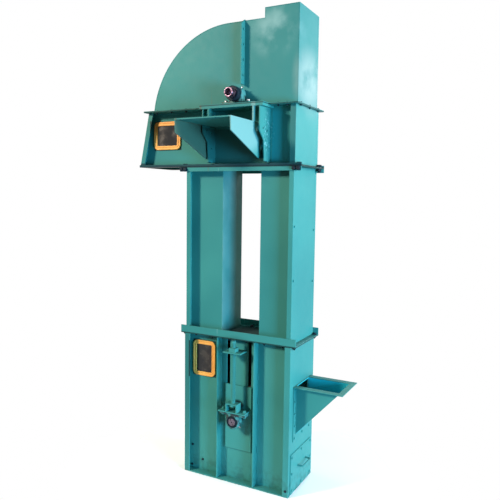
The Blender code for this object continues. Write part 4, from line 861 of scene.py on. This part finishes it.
bar = turned("headShaftBar", [(0.0015, back + 0.005), (0.0045, back), (0.0208, back),
                              (0.0225, back + 0.0017), (0.0225, front - 0.0335), (0.0215, front - 0.0320),
                              (0.0015, front - 0.0320)], 48, bored=False)
layDown(bar, headZ)
dress(bar, "head_rotor", "shaft_steel", replaced=("head_shaft",))
sleeve = turned("headSleeve", [(0.0188, front - 0.0010), (0.0212, front - 0.0008), (0.0246, front - 0.0010),
                               (0.0255, front - 0.0022), (0.0255, front - 0.0372), (0.0226, front - 0.0380),
                               (0.0226, front - 0.0318), (0.0188, front - 0.0318)], 48)
layDown(sleeve, headZ)
dress(sleeve, "head_rotor", "shaft_steel", "rosySteel")
collar = turned("lockCollar", [(0.0227, front - 0.0375), (0.0350, front - 0.0375), (0.0385, front - 0.0400),
                               (0.0392, front - 0.0420), (0.0392, front - 0.0650), (0.0380, front - 0.0675),
                               (0.0227, front - 0.0680)], 48)
layDown(collar, headZ)
dress(collar, "head_rotor", "cast_iron")
rim = turned("sleeveRim", [(0.0190, front - 0.0025), (0.0196, front - 0.0004), (0.0206, front),
                           (0.0232, front), (0.0244, front - 0.0005), (0.0250, front - 0.0020)], 48)
layDown(rim, headZ)
dress(rim, "head_rotor", "shaft_steel", "rosySteel")
bootBar = turned("bootShaftBar", [(0.0015, 0.006 - boot), (0.0045, -boot), (0.0205, -boot),
                                  (0.0225, 0.002 - boot), (0.0225, boot - 0.002), (0.0205, boot),
                                  (0.0045, boot), (0.0015, boot - 0.006)], 48, bored=False)
layDown(bootBar, bootZ)
dress(bootBar, "boot_rotor", "shaft_steel", replaced=("boot_shaft",))
print("shafts done")

# take-up screws with a rolled thread
thread = {
    "pitch": 0.0040, "root": 0.0108, "depth": 0.0016, "steps": 20, "place": 0.185,
    "head": 0.018, "headRadius": 0.0123, "headChamfer": 0.0015,
    "collarTop": 0.018, "collarRadius": 0.0199, "collarHeight": 0.0118, "collarDrop": 0.0061,
    "stubRadius": 0.0060, "stubHeight": 0.0060, "stubLift": 0.0031,
}


def takeupScrew(label, side):
    low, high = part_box(f"takeup_screw_{label}")
    collarTop = low.z + thread["collarTop"]
    bottom, top = collarTop - 0.002, high.z - thread["head"]
    y = side * thread["place"]
    pitch, root, crest = thread["pitch"], thread["root"], thread["root"] + thread["depth"]
    nothing()
    bpy.ops.mesh.primitive_circle_add(vertices=4, radius=root)
    piece = taken(f"takeup_thread_{label}")
    edit(piece, "VERT", everything=True)
    bpy.ops.mesh.delete(type="EDGE_FACE")
    shape = bmesh.from_edit_mesh(piece.data)
    for vert in shape.verts:
        vert.select_set(vert.co.x < root * 0.9)
    bmesh.update_edit_mesh(piece.data)
    bpy.ops.mesh.delete(type="VERT")
    bpy.ops.mesh.select_all(action="SELECT")
    for out, rise in ((crest - root, 0.3), (0.0, 0.2), (root - crest, 0.3), (0.0, 0.2)):
        bpy.ops.mesh.extrude_vertices_move(TRANSFORM_OT_translate={"value": (out, 0, rise * pitch)})
    leave()
    modify(piece, "SCREW", axis="Z", angle=2 * math.pi, screw_offset=pitch,
           iterations=int((top - bottom) / pitch), steps=thread["steps"], render_steps=thread["steps"],
           use_merge_vertices=True, merge_threshold=0.00001)
    edit(piece, "EDGE")
    bpy.ops.mesh.select_non_manifold()
    bpy.ops.mesh.fill_holes(sides=0)
    bpy.ops.mesh.select_all(action="SELECT")
    bpy.ops.mesh.normals_make_consistent(inside=False)
    bpy.ops.transform.translate(value=(0, y, bottom))
    bpy.ops.mesh.primitive_cylinder_add(vertices=6, radius=thread["headRadius"], depth=thread["head"] + 0.002,
                                        location=(0, y, high.z - thread["head"] / 2 - 0.001))
    pickEdges(piece, lambda spot: spot.z > high.z - 0.0001)
    bpy.ops.mesh.bevel(offset=thread["headChamfer"], segments=1, affect="EDGES")
    bpy.ops.mesh.primitive_cylinder_add(vertices=28, radius=thread["collarRadius"],
                                        depth=thread["collarHeight"],
                                        location=(0, y, collarTop - thread["collarDrop"]))
    bpy.ops.mesh.primitive_cylinder_add(vertices=16, radius=thread["stubRadius"], depth=thread["stubHeight"],
                                        location=(0, y, low.z + thread["stubLift"]))
    leave()
    settle(piece, 35)
    dress(piece, "takeup", "casing_steel", replaced=(f"takeup_screw_{label}",))


takeupScrew("front", -1)
takeupScrew("back", 1)
print("take-up screws done")

# window gaskets: a soft ring with its locking groove
gasket = {"corner": 0.028, "width": 0.0225, "groove": 0.0088, "sink": 0.0018, "round": 0.0015}


def windowGasket(nodeName):
    low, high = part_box(nodeName)
    width, height = high.x - low.x, high.z - low.z
    centre = (low + high) / 2
    nothing()
    middle = Vector((centre.x, high.y, centre.z))
    bpy.ops.mesh.primitive_plane_add(size=1, location=middle, rotation=(math.pi / 2, 0, 0))
    piece = taken(nodeName + "_ring")
    piece.scale = (width, height, 1)
    only(piece)
    bpy.ops.object.transform_apply(location=True, rotation=True, scale=True)
    edit(piece, "VERT", everything=True)
    bpy.ops.mesh.bevel(offset=gasket["corner"], segments=7, affect="VERTICES")
    bpy.ops.mesh.select_mode(type="FACE")
    bpy.ops.mesh.select_all(action="SELECT")
    bpy.ops.mesh.inset(thickness=gasket["width"], use_boundary=True)
    pickFaces(piece, lambda spot, normal: (spot - middle).length < 0.001)
    bpy.ops.mesh.delete(type="FACE")
    leave()
    modify(piece, "SOLIDIFY", thickness=high.y - low.y, offset=1.0)
    edit(piece)
    pickFaces(piece, lambda spot, normal: normal.y < -0.9)
    bpy.ops.mesh.inset(thickness=gasket["groove"], use_boundary=True)
    bpy.ops.mesh.extrude_region_move(TRANSFORM_OT_translate={"value": (0, gasket["sink"], 0)})
    leave()
    modify(piece, "BEVEL", width=gasket["round"], segments=3, limit_method="ANGLE",
           angle_limit=math.radians(40))
    settle(piece, 50)
    dress(piece, "casing", "gasket", replaced=(nodeName,))


windowGasket("boot_window_gasket")
windowGasket("head_window_gasket")
print("gaskets done")

# weld beads: small overlapping scales laid along the joints
bead = {"radius": 0.0027, "pitch": 0.0043, "lift": 0.0008}
weldRuns = {
    "seatX": (-0.1772, -0.1698, 0.1698, 0.1772), "seatZ": (1.808, 2.088),
    "deckOut": 0.0006, "deckIn": 0.0066, "deckZ": (1.826, 1.921),
    "hopperOut": 0.0004, "hopperEnds": (0.004, -0.001), "hopperHalf": 0.088,
    "railX": (-0.1212, -0.1148, 0.1148, 0.1212), "railRun": 0.032,
    "railZ": (0.05, 0.19, 0.33, 0.47, 0.61, 0.75),
    "slideOut": 0.0084, "shelfOver": 0.0068, "shelfX": ((-0.081, -0.040), (0.040, 0.081)),
}


def makeScale():
    nothing()
    bpy.ops.mesh.primitive_uv_sphere_add(segments=8, ring_count=5, radius=bead["radius"])
    piece = taken("beadScale")
    edit(piece, "FACE", everything=True)
    bpy.ops.transform.resize(value=(1.0, 1.0, 1.3), center_override=(0, 0, 0))
    leave()
    settle(piece, 60)
    return piece


def layBeads(name, runs, body):
    places = []
    for start, end in runs:
        start, end = Vector(start), Vector(end)
        count = max(2, round((end - start).length / bead["pitch"]))
        for index in range(count + 1):
            places.append(upright(start.lerp(end, index / count), end - start, 40 * index))
    row = spread(name, beadScale, places)
    dress(row, body, "casing_steel")


beadScale = makeScale()
deckLow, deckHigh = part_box("drive_platform")
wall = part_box("head_back_panel")[1].y + bead["lift"]
seatLow, seatHigh = weldRuns["seatZ"]
seatRuns = [((x, side * wall, seatLow), (x, side * wall, seatHigh))
            for side in (-1, 1) for x in weldRuns["seatX"]]
outer, inner = weldRuns["deckOut"], weldRuns["deckIn"]
deckFoot, deckTop = weldRuns["deckZ"]
for x in (deckLow.x - outer, deckLow.x + inner, deckHigh.x - inner, deckHigh.x + outer):
    seatRuns.append(((x, -wall, deckFoot), (x, -wall, deckTop)))
layBeads("seat_welds", seatRuns, "casing")

hopperLow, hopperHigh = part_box("inlet_hopper")
rootX = hopperLow.x + weldRuns["hopperOut"]
footGap, topGap = weldRuns["hopperEnds"]
half = weldRuns["hopperHalf"]
hopperRuns = []
for side in (-1, 1):
    y = side * (hopperHigh.y + weldRuns["hopperOut"])
    hopperRuns.append(((rootX, y, hopperLow.z + footGap), (rootX, y, hopperHigh.z + topGap)))
hopperRuns.append(((rootX, -half, hopperLow.z), (rootX, half, hopperLow.z)))
layBeads("hopper_welds", hopperRuns, "casing")

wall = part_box("boot_back_lower_panel")[1].y + bead["lift"]
railRuns = [((x, side * wall, z), (x, side * wall, z + weldRuns["railRun"]))
            for side in (-1, 1) for x in weldRuns["railX"] for z in weldRuns["railZ"]]
layBeads("rail_welds", railRuns, "casing")

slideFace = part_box("takeup_slide_back")[0].y + weldRuns["slideOut"]
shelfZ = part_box("boot_bearing_front")[1].z + weldRuns["shelfOver"]
takeupRuns = [((start, side * slideFace, shelfZ), (end, side * slideFace, shelfZ))
              for side in (-1, 1) for start, end in weldRuns["shelfX"]]
layBeads("takeup_welds", takeupRuns, "takeup")
remove(beadScale)
print("weld beads done")
